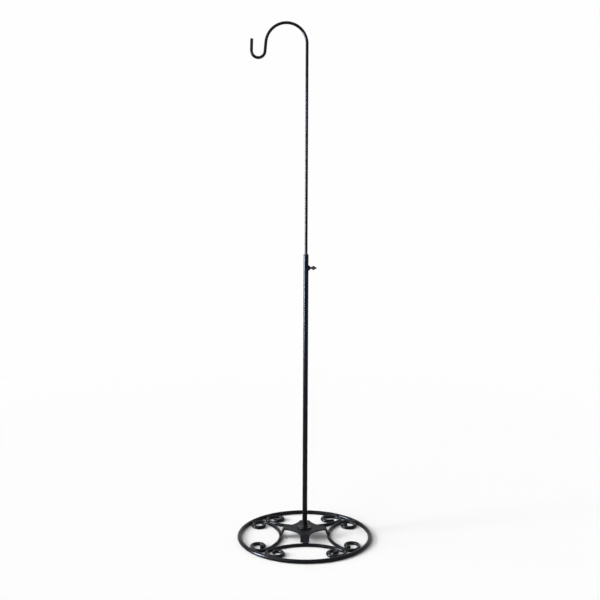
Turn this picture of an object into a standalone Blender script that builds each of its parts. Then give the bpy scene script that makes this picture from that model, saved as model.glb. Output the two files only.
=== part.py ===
"""Adjustable shepherd's hook stand: scrolled ring base, telescoping pole and hook.

Metres, +Z up. The origin is on the floor at the centre of the base ring. +X is to the
right of the front view, +Y is away from it, and the hook reaches out along -X.
"""
import math

import bmesh
import bpy
from mathutils import Matrix, Vector

# Fits shared by all pieces
GAP = 0.0003                 # between faces that touch on the real stand
RUNNING = 0.0003             # radial, between pieces that slide or turn in each other
OVERRUN = 0.002              # how far a cutter runs past the face that it opens
MERGE = 0.00001              # doubles closer than this become one point

# Base ring of round bar
RING_OUTER = 0.1524
RING_BAR = 0.0095
RING_STEPS = 64
RING_SIDES = 14              # with a corner outwards, so that flats face up and down

# Scrolls of thinner round bar, one for each side of the ring
SCROLL_BAR = 0.0079
SCROLL_MID = 0.0543          # ring centre to the middle of each scroll
SCROLL_TURN = math.radians(1.2)  # of all four scrolls about the pole, past the plate's arms
SCROLL_SIDES = 8
EYE_RADIUS = 0.0187          # outer turn of an eye, on the bar's centreline
ARC_STEP = math.radians(15)
ARM_STEPS = 6

# The scrolls in order, a quarter turn apart from +X on. For the left and the right end
# of each, seen from the ring's centre, what follows the eye's outer turn: a straight run,
# the radius of a half turn and the radius of the last turn, as shares of the eye radius,
# and the sweep of the last turn as a share of a half turn
SCROLL_END_SHARES = (
    ("scroll_right", (0.28, 0.78, 0.28, 0.83), (0.51, 0.77, 0.49, 0.53)),
    ("scroll_back", (0.32, 0.67, 0.32, 0.72), (0.47, 0.76, 1.07, 0.20)),
    ("scroll_left", (0.46, 0.72, 0.40, 0.56), (0.17, 0.70, 0.48, 0.28)),
    ("scroll_front", (0.24, 0.81, 0.31, 1.18), (0.16, 0.81, 0.30, 0.72)),
)

# Spider plate of sheet, with a leg bent down from each arm to the middle of a scroll
PLATE_TOP = 0.024
PLATE_THICK = 0.003
ARM_WIDTH = 0.020
BEND_INSIDE = 0.003
LEG_DROP_ANGLE = math.radians(64)
BEND_STEPS = 4
BITE_RADIUS = 0.044          # of the round bite between two arms
BITE_STEPS = 10

# Hook rod
ROD_RADIUS = 0.003175
ROD_INSERTION = 0.100        # length inside the tube as stood up here
ARCH_HEIGHT = 1.0915         # centre of the arch above the floor
ARCH_RADIUS = 0.0435
SHANK_LEAN = math.radians(5.5)
CUP_RADIUS = 0.0143
CUP_DROP = 0.0140            # centre of the arch down to the centre of the cup
TIP_RISE = 0.0248            # centre of the cup up to the cut end
TIP_LEAN = math.radians(1.5)
TIP_EASE = 0.0006
ARCH_STEPS = 16
CUP_STEPS = 12
ROD_SIDES = 12

# Guide at the rod's lower end, held between two pressed ears of the rod
GUIDE_LENGTH = 0.014
GUIDE_WALL = 0.000775
EAR_REACH_SHARE = 0.55       # of the guide's wall
EAR_LENGTH = 0.0016
EAR_EASE = 0.0005
ROD_BELOW_EAR = 0.0030

# Lower tube
TUBE_WALL = 0.0010
TUBE_LENGTH = 0.6185
SCREW_DROP = 0.0292          # screw axis below the tube's mouth

# Bush in the tube's mouth
BUSH_LENGTH = 0.012
BUSH_LIP = 0.0008
BUSH_LIP_INSET = 0.00025     # lip's edge inside the tube's

# Pole foot: flange on the plate, stud through it, washers and nut underneath
HUB_WALL = 0.00155
HUB_HEIGHT = 0.0030
FLANGE_SPREAD = 0.0084
FLANGE_THICK = 0.0025
FLANGE_CHAMFER = 0.0008
STUD_RADIUS = 0.0040
STUD_PLUG_LENGTH = 0.018
STUD_BELOW_NUT = 0.002
STUD_CHAMFER = 0.0007
WASHER_WIDTH = 0.0052
WASHER_THICK = 0.0016
LOCK_WIDTH = 0.0027
LOCK_THICK = 0.0020
LOCK_SPLIT = math.radians(14)
NUT_WALL = 0.0022            # at its flats
NUT_HEIGHT = 0.0065

# Boss and wing screw on the tube's right side, along +X
SCREW_RADIUS = 0.0024
SCREW_CLEARANCE = 0.00035
BOSS_FACE_WALL = 0.00155
BOSS_SPREAD = 0.0017         # how much wider the boss is at the tube
BOSS_SADDLE_DEPTH = 0.00255
BOSS_STRAIGHT = 0.00105      # from the tube's side
BOSS_TAPER = 0.0023
NECK_SHOWN = 0.0035
WING_CONE = 0.0023
WING_RIM = 0.0021
WING_NOSE = 0.0030
WING_HUB_RADIUS = 0.0046
WING_NOSE_RADIUS = 0.0026
WING_THICK = 0.0028
WING_ROOT_INSET = 0.0005
WING_LOBE_RADIUS = 0.0041
WING_LOBE_OUT = 0.0086       # lobe's centre from the screw's axis
WING_LOBE_AHEAD = 0.0041     # lobe's centre from the start of the hub's rim
WING_VALLEY_AHEAD = 0.0045
LOBE_FROM = math.radians(-95)
LOBE_TO = math.radians(150)
LOBE_STEPS = 10

# Weld beads
BEAD_RADIUS = 0.0013
BEAD_LENGTH = 0.010
LEG_BEAD_LENGTH = 0.014
BEAD_END_SHARE = 0.35
BEAD_SHOULDER_SHARE = 0.30

# Roundness of turned pieces
TUBE_SIDES = 24
SMALL_SIDES = 16
SHARP_ANGLE = math.radians(40)

# Worked out from the sizes above
RING_RADIUS = RING_BAR / 2
SCROLL_RADIUS = SCROLL_BAR / 2
RING_CENTRE = RING_OUTER - RING_RADIUS
RING_HEIGHT = RING_RADIUS * math.cos(math.pi / RING_SIDES)
SCROLL_HEIGHT = SCROLL_RADIUS
ROD_HOLE = ROD_RADIUS + RUNNING
SLEEVE_RADIUS = ROD_HOLE + GUIDE_WALL
EAR_RADIUS = ROD_HOLE + EAR_REACH_SHARE * GUIDE_WALL
TUBE_BORE = SLEEVE_RADIUS + RUNNING
TUBE_RADIUS = TUBE_BORE + TUBE_WALL
BUSH_LIP_RADIUS = TUBE_RADIUS - BUSH_LIP_INSET
HUB_RADIUS = TUBE_RADIUS + GAP + HUB_WALL
FLANGE_RADIUS = HUB_RADIUS + FLANGE_SPREAD
STUD_HOLE = STUD_RADIUS + GAP
PLATE_BOTTOM = PLATE_TOP - PLATE_THICK
FLANGE_BOTTOM = PLATE_TOP + GAP
FLANGE_TOP = FLANGE_BOTTOM + FLANGE_THICK
TUBE_FOOT = FLANGE_TOP + GAP
TUBE_MOUTH = TUBE_FOOT + TUBE_LENGTH
SCREW_HEIGHT = TUBE_MOUTH - SCREW_DROP
ROD_END = TUBE_MOUTH - ROD_INSERTION
GUIDE_FOOT = ROD_END + ROD_BELOW_EAR + EAR_LENGTH + GAP
SCREW_HOLE = SCREW_RADIUS + SCREW_CLEARANCE
BOSS_FACE_RADIUS = SCREW_HOLE + BOSS_FACE_WALL
BOSS_BASE_RADIUS = BOSS_FACE_RADIUS + BOSS_SPREAD
BOSS_START = TUBE_RADIUS - BOSS_SADDLE_DEPTH
BOSS_STRAIGHT_END = TUBE_RADIUS + BOSS_STRAIGHT
BOSS_FACE = BOSS_STRAIGHT_END + BOSS_TAPER
NECK_END = BOSS_FACE + NECK_SHOWN
WING_HUB_START = NECK_END + WING_CONE
WING_HUB_END = WING_HUB_START + WING_RIM
WING_HUB_NOSE = WING_HUB_END + WING_NOSE
WING_ROOT = WING_HUB_START - WING_ROOT_INSET
WING_LOBE_AT = WING_HUB_START + WING_LOBE_AHEAD
WING_VALLEY = WING_HUB_START + WING_VALLEY_AHEAD


def clear_scene():
    """Remove every object of the open scene."""
    for old in list(bpy.data.objects):
        bpy.data.objects.remove(old, do_unlink=True)


def finish(name, colour, roughness, metallic=0.0):
    """A plain material for one sub-part."""
    material = bpy.data.materials.new(name)
    material.use_nodes = True
    shader = material.node_tree.nodes["Principled BSDF"]
    shader.inputs["Base Color"].default_value = (*colour, 1.0)
    shader.inputs["Roughness"].default_value = roughness
    shader.inputs["Metallic"].default_value = metallic
    return material


def black_coat(name):
    """Black powder coat."""
    return finish(name, (0.012, 0.012, 0.014), 0.38)


def grained_coat(name):
    """Black coat with a dull, grainy surface, as on the spider plate."""
    return finish(name, (0.035, 0.035, 0.038), 0.62)


def zinc(name):
    """Bright zinc plating on the hidden fasteners."""
    return finish(name, (0.62, 0.63, 0.65), 0.32, 1.0)


def nylon(name):
    """Black moulded nylon."""
    return finish(name, (0.02, 0.02, 0.02), 0.5)


def add_object(name, data, material, parent=None):
    """Link an object that carries the data and its own material."""
    data.materials.append(material)
    made = bpy.data.objects.new(name, data)
    bpy.context.scene.collection.objects.link(made)
    made.parent = parent
    return made


def mesh_object(name, bm, material, parent=None):
    """Turn a bmesh into a smooth-shaded object."""
    bmesh.ops.remove_doubles(bm, verts=bm.verts, dist=MERGE)
    bmesh.ops.recalc_face_normals(bm, faces=bm.faces)
    mesh = bpy.data.meshes.new(name)
    bm.to_mesh(mesh)
    bm.free()
    mesh.shade_smooth()
    mesh.set_sharp_from_angle(angle=SHARP_ANGLE)
    return add_object(name, mesh, material, parent)


def add_empty(name, height, tilt=0.0):
    """An empty on the pole's axis, turned about Y by the tilt."""
    empty = bpy.data.objects.new(name, None)
    bpy.context.scene.collection.objects.link(empty)
    empty.location = (0.0, 0.0, height)
    empty.rotation_euler = (0.0, tilt, 0.0)
    return empty


def turned(name, profile, sides, material, parent=None, hollow=False, sweep=math.tau):
    """Spin a profile of (radius, height) points about the local Z axis."""
    bm = bmesh.new()
    corners = [bm.verts.new((radius, 0.0, height)) for radius, height in profile]
    for first, second in zip(corners, corners[1:]):
        bm.edges.new((first, second))
    if hollow:
        bm.edges.new((corners[-1], corners[0]))
    whole = sweep >= math.tau
    if not whole:
        bm.faces.new(corners)
    bmesh.ops.spin(bm, geom=bm.verts[:] + bm.edges[:] + bm.faces[:], cent=(0.0, 0.0, 0.0),
                   axis=(0.0, 0.0, 1.0), angle=sweep, steps=sides, use_merge=whole,
                   use_duplicate=False)
    if not whole:
        bmesh.ops.recalc_face_normals(bm, faces=bm.faces)
    return mesh_object(name, bm, material, parent)


def cutter(name, radius, start, end, sides, parent):
    """A wire cylinder along the parent's Z axis, left out of the part."""
    profile = [(0.0, start), (radius, start), (radius, end), (0.0, end)]
    tool = turned(name, profile, sides, finish(name, (1.0, 0.2, 0.2), 0.5), parent)
    tool.hide_render = True
    tool.display_type = "WIRE"
    return tool


def combine(made, tool, operation):
    """Add an exact Boolean to the object."""
    step = made.modifiers.new(f"{operation.lower()}_{tool.name}", "BOOLEAN")
    step.operation = operation
    step.object = tool
    step.solver = "EXACT"


def bar(name, path, radius, sides, material, parent=None, closed=False):
    """Round bar along a path of (point, radius share), as a curve object."""
    curve = bpy.data.curves.new(name, "CURVE")
    curve.dimensions = "3D"
    curve.bevel_depth = radius
    curve.bevel_resolution = sides // 2 - 2
    curve.use_fill_caps = not closed
    curve.twist_mode = "MINIMUM"
    spline = curve.splines.new("POLY")
    spline.points.add(len(path) - 1)
    spline.use_cyclic_u = closed
    spline.use_smooth = True
    for point, (place, share) in zip(spline.points, path):
        point.co = (*place, 1.0)
        point.radius = share
    return add_object(name, curve, material, parent)


class Trace:
    """A flat path drawn as tangent runs and arcs, like a bent bar."""

    def __init__(self, place, heading):
        self.points = [Vector(place)]
        self.heading = heading

    def run(self, length):
        """Go straight on."""
        if length > 0.0:
            ahead = Vector((math.cos(self.heading), math.sin(self.heading)))
            self.points.append(self.points[-1] + ahead * length)

    def turn(self, radius, sweep, steps):
        """Turn right on an arc of this radius, or left where the sweep is negative."""
        signed = math.copysign(radius, sweep)
        side = Vector((math.sin(self.heading), -math.cos(self.heading)))
        centre = self.points[-1] + side * signed
        for step in range(1, steps + 1):
            angle = self.heading - sweep * step / steps
            out = Vector((-math.sin(angle), math.cos(angle)))
            self.points.append(centre + out * signed)
        self.heading -= sweep


def arc_steps(sweep):
    """Steps that keep an arc round."""
    return max(2, round(sweep / ARC_STEP))


def eye_reach():
    """How far the scroll bar's centreline lies inside the ring's when they touch."""
    apart = RING_RADIUS + SCROLL_RADIUS + GAP
    return math.sqrt(apart ** 2 - (RING_HEIGHT - SCROLL_HEIGHT) ** 2)


def eye_centre():
    """Centre of an eye's outer turn: it touches the ring and the next scroll's eye."""
    distance = RING_CENTRE - eye_reach() - EYE_RADIUS
    difference = (SCROLL_BAR + GAP) / math.sqrt(2) + EYE_RADIUS * math.sqrt(2)
    total = math.sqrt(2 * distance ** 2 - difference ** 2)
    return Vector(((total + difference) / 2, (total - difference) / 2))


def arm_radius():
    """Radius of a scroll's long arc, which runs on into the outer turn of its eye."""
    eye = eye_centre()
    ahead = eye.x - SCROLL_MID
    return (ahead ** 2 + eye.y ** 2 - EYE_RADIUS ** 2) / (2 * (ahead - EYE_RADIUS))


def scroll_half(shares):
    """Centreline from the middle of a scroll to the tip of one eye."""
    run_share, curl_share, tip_share, sweep_share = shares
    radius = arm_radius()
    lean = math.asin(eye_centre().y / (radius - EYE_RADIUS))
    sweep = sweep_share * math.pi
    half = Trace((SCROLL_MID, 0.0), math.pi / 2)
    half.turn(radius, lean, ARM_STEPS)
    half.turn(EYE_RADIUS, math.pi - lean, arc_steps(math.pi - lean))
    half.run(run_share * EYE_RADIUS)
    half.turn(curl_share * EYE_RADIUS, math.pi, arc_steps(math.pi))
    half.turn(tip_share * EYE_RADIUS, sweep, arc_steps(sweep))
    return half.points


def quarter_turned(point, quarters, height, more=0.0):
    """A flat point by the +X arm, moved round the pole and up to its height."""
    turn = Matrix.Rotation(quarters * math.pi / 2 + more, 3, "Z")
    return turn @ Vector((*point, height))


def beside_scroll(point, quarters, height):
    """A flat point of the scroll by the +X arm, moved round with all the scrolls."""
    return quarter_turned(point, quarters, height, SCROLL_TURN)


def make_ring():
    """Base ring, with a flat of its facets on the floor."""
    path = []
    for step in range(RING_STEPS):
        angle = math.tau * step / RING_STEPS
        place = (RING_CENTRE * math.cos(angle), RING_CENTRE * math.sin(angle), RING_HEIGHT)
        path.append((place, 1.0))
    bar("base_ring", path, RING_RADIUS, RING_SIDES, black_coat("base_ring"), closed=True)


def make_scrolls():
    """Four scrolls whose eyes curl in against the ring."""
    for quarters, (name, left_shares, right_shares) in enumerate(SCROLL_END_SHARES):
        left = scroll_half(left_shares)
        right = [Vector((point.x, -point.y)) for point in scroll_half(right_shares)]
        flat = list(reversed(right[1:])) + left
        path = [(beside_scroll(point, quarters, SCROLL_HEIGHT), 1.0) for point in flat]
        bar(name, path, SCROLL_RADIUS, SCROLL_SIDES, black_coat(name))


def leg_bend():
    """Bend start, bend length and leg length of an arm, on the sheet's middle.

    The outer corner of the leg's end stands over the middle of the scroll bar.
    """
    middle = BEND_INSIDE + PLATE_THICK / 2
    lowest = SCROLL_BAR + GAP + PLATE_THICK / 2 * math.cos(LEG_DROP_ANGLE)
    fall = PLATE_TOP - PLATE_THICK / 2 - middle * (1 - math.cos(LEG_DROP_ANGLE)) - lowest
    leg = fall / math.sin(LEG_DROP_ANGLE)
    out = (middle + PLATE_THICK / 2) * math.sin(LEG_DROP_ANGLE) + leg * math.cos(LEG_DROP_ANGLE)
    return SCROLL_MID - out, middle * LEG_DROP_ANGLE, leg


def bent(along, offset):
    """Place of a sheet point, once an arm is bent: distance out and height."""
    start, bend_length, _ = leg_bend()
    middle = BEND_INSIDE + PLATE_THICK / 2
    base = PLATE_TOP - PLATE_THICK / 2
    angle = min(max(along - start, 0.0), bend_length) / middle
    rest = max(along - start - bend_length, 0.0)
    before = min(along, start)
    out = before + (middle + offset) * math.sin(angle) + rest * math.cos(angle)
    height = base - middle + (middle + offset) * math.cos(angle) - rest * math.sin(angle)
    return out, height


def plate_outline():
    """Flat pattern: four arms with a round bite out of each corner between them."""
    start, bend_length, leg = leg_bend()
    half = ARM_WIDTH / 2
    end = start + bend_length + leg
    bite = half + BITE_RADIUS
    corner = [Vector((end, half))]
    for step in range(BITE_STEPS + 1):
        angle = math.pi / 2 * step / BITE_STEPS
        out = Vector((-math.sin(angle), -math.cos(angle)))
        corner.append(Vector((bite, bite)) + out * BITE_RADIUS)
    corner.append(Vector((half, end)))
    outline = []
    for quarters in range(4):
        outline += [quarter_turned(point, quarters, 0.0) for point in corner]
    return outline


def loop_edges(bm, points):
    """Closed loop of edges through the points."""
    verts = [bm.verts.new(point) for point in points]
    return [bm.edges.new((a, b)) for a, b in zip(verts, verts[1:] + verts[:1])]


def make_spider_plate():
    """Cut the sheet, then bend its four legs down."""
    start, bend_length, _ = leg_bend()
    hole = []
    for step in range(SMALL_SIDES):
        angle = math.tau * step / SMALL_SIDES
        hole.append(Vector((STUD_HOLE * math.cos(angle), STUD_HOLE * math.sin(angle), 0.0)))
    bm = bmesh.new()
    edges = loop_edges(bm, plate_outline()) + loop_edges(bm, hole)
    bmesh.ops.triangle_fill(bm, use_beauty=True, use_dissolve=False, edges=edges)
    grown = bmesh.ops.extrude_face_region(bm, geom=bm.faces[:])
    raised = [item for item in grown["geom"] if isinstance(item, bmesh.types.BMVert)]
    bmesh.ops.translate(bm, verts=raised, vec=(0.0, 0.0, PLATE_THICK))
    for step in range(BEND_STEPS + 1):
        line = start + bend_length * step / BEND_STEPS
        for side in (Vector((1, 0, 0)), Vector((-1, 0, 0)), Vector((0, 1, 0)), Vector((0, -1, 0))):
            whole = bm.verts[:] + bm.edges[:] + bm.faces[:]
            bmesh.ops.bisect_plane(bm, geom=whole, dist=MERGE, plane_co=side * line, plane_no=side)
    for vert in bm.verts:
        offset = vert.co.z - PLATE_THICK / 2
        across = abs(vert.co.x) < abs(vert.co.y)
        along = abs(vert.co.y) if across else abs(vert.co.x)
        out, height = bent(along, offset)
        if across:
            vert.co.y = math.copysign(out, vert.co.y)
        else:
            vert.co.x = math.copysign(out, vert.co.x)
        vert.co.z = height
    mesh_object("spider_plate", bm, grained_coat("spider_plate"))


def make_pole_foot():
    """Flange and stud of the pole, and the washers and nut that hold it to the plate."""
    socket = TUBE_RADIUS + GAP
    edge = FLANGE_RADIUS - FLANGE_CHAMFER
    rim = FLANGE_THICK - FLANGE_CHAMFER
    top = FLANGE_THICK + HUB_HEIGHT
    lip = HUB_RADIUS - FLANGE_CHAMFER
    profile = [(STUD_HOLE, 0.0), (FLANGE_RADIUS, 0.0), (FLANGE_RADIUS, rim),
               (edge, FLANGE_THICK), (HUB_RADIUS, FLANGE_THICK),
               (HUB_RADIUS, top - FLANGE_CHAMFER), (lip, top), (socket, top),
               (socket, FLANGE_THICK), (STUD_HOLE, FLANGE_THICK)]
    flange = turned("pole_flange", profile, TUBE_SIDES, black_coat("pole_flange"), hollow=True)
    flange.location.z = FLANGE_BOTTOM

    washer_bottom = PLATE_BOTTOM - GAP - WASHER_THICK
    lock_bottom = washer_bottom - GAP - LOCK_THICK
    nut_bottom = lock_bottom - GAP - NUT_HEIGHT
    stud_foot = nut_bottom - STUD_BELOW_NUT
    stud_top = TUBE_FOOT + STUD_PLUG_LENGTH
    profile = [(0.0, stud_foot), (STUD_RADIUS - STUD_CHAMFER, stud_foot),
               (STUD_RADIUS, stud_foot + STUD_CHAMFER), (STUD_RADIUS, TUBE_FOOT),
               (SLEEVE_RADIUS, TUBE_FOOT), (SLEEVE_RADIUS, stud_top - STUD_CHAMFER),
               (SLEEVE_RADIUS - STUD_CHAMFER, stud_top), (0.0, stud_top)]
    turned("pole_stud", profile, SMALL_SIDES, zinc("pole_stud"))

    rim = STUD_HOLE + WASHER_WIDTH
    profile = [(STUD_HOLE, 0.0), (rim, 0.0), (rim, WASHER_THICK), (STUD_HOLE, WASHER_THICK)]
    washer = turned("clamp_washer", profile, TUBE_SIDES, zinc("clamp_washer"), hollow=True)
    washer.location.z = washer_bottom

    rim = STUD_HOLE + LOCK_WIDTH
    profile = [(STUD_HOLE, 0.0), (rim, 0.0), (rim, LOCK_THICK), (STUD_HOLE, LOCK_THICK)]
    lock = turned("lock_washer", profile, TUBE_SIDES, zinc("lock_washer"), hollow=True,
                  sweep=math.tau - LOCK_SPLIT)
    lock.location.z = lock_bottom
    make_nut(nut_bottom)


def make_nut(bottom):
    """Hexagon nut with its corners eased."""
    flat = STUD_HOLE + NUT_WALL
    corner = flat / math.cos(math.pi / 6)
    profile = [(0.0, 0.0), (corner, 0.0), (corner, NUT_HEIGHT), (0.0, NUT_HEIGHT)]
    nut = turned("clamp_nut", profile, 6, zinc("clamp_nut"))
    nut.location.z = bottom
    ease = corner - flat
    reach = corner + ease
    profile = [(0.0, 0.0), (flat, 0.0), (reach, ease * 2), (reach, NUT_HEIGHT - ease * 2),
               (flat, NUT_HEIGHT), (0.0, NUT_HEIGHT)]
    easer = turned("nut_easer", profile, TUBE_SIDES, finish("nut_easer", (1.0, 0.2, 0.2), 0.5), nut)
    easer.hide_render = True
    easer.display_type = "WIRE"
    combine(nut, easer, "INTERSECT")
    bore = cutter("nut_bore", STUD_HOLE, -OVERRUN, NUT_HEIGHT + OVERRUN, SMALL_SIDES, nut)
    combine(nut, bore, "DIFFERENCE")


def make_tube(screw_axis):
    """Lower tube with the hole for the wing screw, and the bush in its mouth."""
    profile = [(TUBE_BORE, 0.0), (TUBE_RADIUS, 0.0), (TUBE_RADIUS, TUBE_LENGTH),
               (TUBE_BORE, TUBE_LENGTH)]
    tube = turned("lower_tube", profile, TUBE_SIDES, black_coat("lower_tube"), hollow=True)
    tube.location.z = TUBE_FOOT
    drill = cutter("tube_drill", SCREW_HOLE, 0.0, TUBE_RADIUS + OVERRUN, SMALL_SIDES, screw_axis)
    combine(tube, drill, "DIFFERENCE")

    lip_foot = GAP
    lip_top = GAP + BUSH_LIP
    profile = [(ROD_HOLE, -BUSH_LENGTH), (SLEEVE_RADIUS, -BUSH_LENGTH), (SLEEVE_RADIUS, lip_foot),
               (BUSH_LIP_RADIUS, lip_foot), (BUSH_LIP_RADIUS, lip_top), (ROD_HOLE, lip_top)]
    bush = turned("top_bush", profile, TUBE_SIDES, nylon("top_bush"), hollow=True)
    bush.location.z = TUBE_MOUTH


def make_boss(screw_axis):
    """Threaded boss, saddled on the tube's side."""
    profile = [(SCREW_HOLE, BOSS_START), (BOSS_BASE_RADIUS, BOSS_START),
               (BOSS_BASE_RADIUS, BOSS_STRAIGHT_END), (BOSS_FACE_RADIUS, BOSS_FACE),
               (SCREW_HOLE, BOSS_FACE)]
    boss = turned("screw_boss", profile, TUBE_SIDES, black_coat("screw_boss"), screw_axis,
                  hollow=True)
    tall = BOSS_BASE_RADIUS + OVERRUN
    saddle = cutter("boss_saddle", TUBE_RADIUS + GAP, -tall, tall, TUBE_SIDES, None)
    saddle.location.z = SCREW_HEIGHT
    combine(boss, saddle, "DIFFERENCE")


def lobe(side):
    """Rounded end of one wing, in the screw's own plane."""
    points = []
    for step in range(LOBE_STEPS + 1):
        angle = LOBE_FROM + (LOBE_TO - LOBE_FROM) * step / LOBE_STEPS
        out = WING_LOBE_OUT + WING_LOBE_RADIUS * math.cos(angle)
        ahead = WING_LOBE_AT + WING_LOBE_RADIUS * math.sin(angle)
        points.append(Vector((0.0, side * out, ahead)))
    return points


def make_wing_screw(screw_axis):
    """Turned screw with two flat wings, in the plane of the floor as photographed."""
    tip = ROD_RADIUS + GAP
    profile = [(0.0, tip), (SCREW_RADIUS, tip), (SCREW_RADIUS, NECK_END),
               (WING_HUB_RADIUS, WING_HUB_START), (WING_HUB_RADIUS, WING_HUB_END),
               (WING_NOSE_RADIUS, WING_HUB_NOSE), (0.0, WING_HUB_NOSE)]
    screw = turned("thumb_screw", profile, SMALL_SIDES, black_coat("thumb_screw"), screw_axis)
    left = lobe(1.0)
    right = list(reversed(lobe(-1.0)))
    outline = [Vector((0.0, 0.0, WING_ROOT))] + left + [Vector((0.0, 0.0, WING_VALLEY))] + right
    bm = bmesh.new()
    face = bm.faces.new([bm.verts.new(point) for point in outline])
    grown = bmesh.ops.extrude_face_region(bm, geom=[face])
    raised = [item for item in grown["geom"] if isinstance(item, bmesh.types.BMVert)]
    bmesh.ops.translate(bm, verts=raised, vec=(WING_THICK, 0.0, 0.0))
    bmesh.ops.translate(bm, verts=bm.verts, vec=(-WING_THICK / 2, 0.0, 0.0))
    wings = mesh_object("screw_wings", bm, finish("screw_wings", (1.0, 0.2, 0.2), 0.5), screw_axis)
    wings.hide_render = True
    wings.display_type = "WIRE"
    combine(screw, wings, "UNION")


def hook_bend():
    """The bent end of the rod as reach from the pole's axis and height above the floor.

    The arch ends in a straight shank that leans out, and the cup in a tip that leans in.
    """
    rise = (ARCH_RADIUS + CUP_RADIUS) * math.sin(SHANK_LEAN)
    bend = Trace((0.0, ARCH_HEIGHT), math.pi / 2)
    bend.turn(ARCH_RADIUS, math.pi - SHANK_LEAN, ARCH_STEPS)
    bend.run((CUP_DROP + rise) / math.cos(SHANK_LEAN))
    bend.turn(CUP_RADIUS, SHANK_LEAN - TIP_LEAN - math.pi, CUP_STEPS)
    bend.run(TIP_RISE - TIP_EASE)
    bend.run(TIP_EASE)
    return bend.points


def rod_path():
    """Centreline of the hook rod from its lower end, with the radius share at each point."""
    ear = EAR_RADIUS / ROD_RADIUS
    second = GUIDE_FOOT + GUIDE_LENGTH + GAP
    path = [((0.0, 0.0, ROD_END), 1.0)]
    for foot in (GUIDE_FOOT - GAP - EAR_LENGTH, second):
        path += [((0.0, 0.0, foot), 1.0), ((0.0, 0.0, foot + EAR_EASE), ear),
                 ((0.0, 0.0, foot + EAR_LENGTH - EAR_EASE), ear),
                 ((0.0, 0.0, foot + EAR_LENGTH), 1.0)]
    path.append(((0.0, 0.0, SCREW_HEIGHT), 1.0))
    bend = [(-point.x, 0.0, point.y) for point in hook_bend()]
    path += [(place, 1.0) for place in bend[:-1]]
    path.append((bend[-1], (ROD_RADIUS - TIP_EASE) / ROD_RADIUS))
    return path


def make_rod():
    """Hook rod, and the guide that turns on its lower end and slides in the tube."""
    carrier = add_empty("rod_carrier", ROD_END)
    path = [((x, y, z - ROD_END), share) for (x, y, z), share in rod_path()]
    bar("hook_rod", path, ROD_RADIUS, ROD_SIDES, black_coat("hook_rod"), carrier)
    profile = [(ROD_HOLE, 0.0), (SLEEVE_RADIUS, 0.0), (SLEEVE_RADIUS, GUIDE_LENGTH),
               (ROD_HOLE, GUIDE_LENGTH)]
    guide = turned("rod_guide", profile, TUBE_SIDES, nylon("rod_guide"), carrier, hollow=True)
    guide.location.z = GUIDE_FOOT - ROD_END


def bead(name, centre, direction, length):
    """One weld bead, thin at its ends."""
    centre = Vector(centre)
    half = Vector(direction).normalized() * (length / 2)
    places = ((-1.0, BEAD_END_SHARE), (BEAD_SHOULDER_SHARE - 1.0, 1.0),
              (1.0 - BEAD_SHOULDER_SHARE, 1.0), (1.0, BEAD_END_SHARE))
    path = [(centre + half * share, size) for share, size in places]
    bar(name, path, BEAD_RADIUS, SCROLL_SIDES, black_coat(name))


def groove(first, first_radius, second, second_radius, side):
    """Place of a bead that lies against two round edges, on the given side, in section."""
    a = first_radius + BEAD_RADIUS + GAP
    b = second_radius + BEAD_RADIUS + GAP
    line = second - first
    along = (line.length_squared + a ** 2 - b ** 2) / (2 * line.length)
    rise = math.sqrt(a ** 2 - along ** 2)
    ahead = line.normalized()
    away = Vector((-ahead.y, ahead.x))
    away = away if away.dot(side) > 0.0 else -away
    return first + ahead * along + away * rise


def make_ring_welds():
    """Two beads for each scroll, where its eyes lie against the ring."""
    eye = eye_centre()
    section = groove(Vector((RING_CENTRE, RING_HEIGHT)), RING_RADIUS,
                     Vector((RING_CENTRE - eye_reach(), SCROLL_HEIGHT)), SCROLL_RADIUS,
                     Vector((0.0, 1.0)))
    for quarters, (scroll, *_) in enumerate(SCROLL_END_SHARES):
        for side, end in ((1.0, "left"), (-1.0, "right")):
            out = Vector((eye.x, side * eye.y)).normalized()
            centre = beside_scroll(out * section.x, quarters, section.y)
            tangent = beside_scroll(Vector((-out.y, out.x)), quarters, 0.0)
            bead(f"ring_weld_{scroll}_{end}", centre, tangent, BEAD_LENGTH)


def make_scroll_welds():
    """A bead on each diagonal, where two scrolls lie side by side."""
    section = groove(Vector((0.0, SCROLL_HEIGHT)), SCROLL_RADIUS,
                     Vector((SCROLL_BAR + GAP, SCROLL_HEIGHT)), SCROLL_RADIUS,
                     Vector((0.0, 1.0)))
    eye = eye_centre()
    touch = (eye.x + eye.y) / 2
    for quarters in range(4):
        centre = beside_scroll(Vector((touch, touch)), quarters, section.y)
        ahead = beside_scroll(Vector((1.0, 1.0)), quarters, 0.0)
        bead(f"scroll_weld_{quarters + 1}", centre, ahead, BEAD_LENGTH)


def make_leg_welds():
    """A bead under the outer corner of each leg, along the scroll bar.

    The bar runs askew to the leg, so the bead's far end comes nearer to the corner.
    """
    askew = LEG_BEAD_LENGTH / 2 * math.sin(SCROLL_TURN)
    foot = Vector(bent(sum(leg_bend()), PLATE_THICK / 2))
    place = groove(Vector((SCROLL_MID, SCROLL_HEIGHT)), SCROLL_RADIUS, foot, askew,
                   Vector((1.0, 0.0)))
    for quarters in range(4):
        centre = beside_scroll(Vector((place.x, 0.0)), quarters, place.y)
        across = beside_scroll(Vector((0.0, 1.0)), quarters, 0.0)
        bead(f"leg_weld_{quarters + 1}", centre, across, LEG_BEAD_LENGTH)


def main():
    """Build every sub-part."""
    clear_scene()
    screw_axis = add_empty("screw_axis", SCREW_HEIGHT, math.pi / 2)
    make_ring()
    make_scrolls()
    make_spider_plate()
    make_pole_foot()
    make_tube(screw_axis)
    make_boss(screw_axis)
    make_wing_screw(screw_axis)
    make_rod()
    make_ring_welds()
    make_scroll_welds()
    make_leg_welds()


main()
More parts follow.
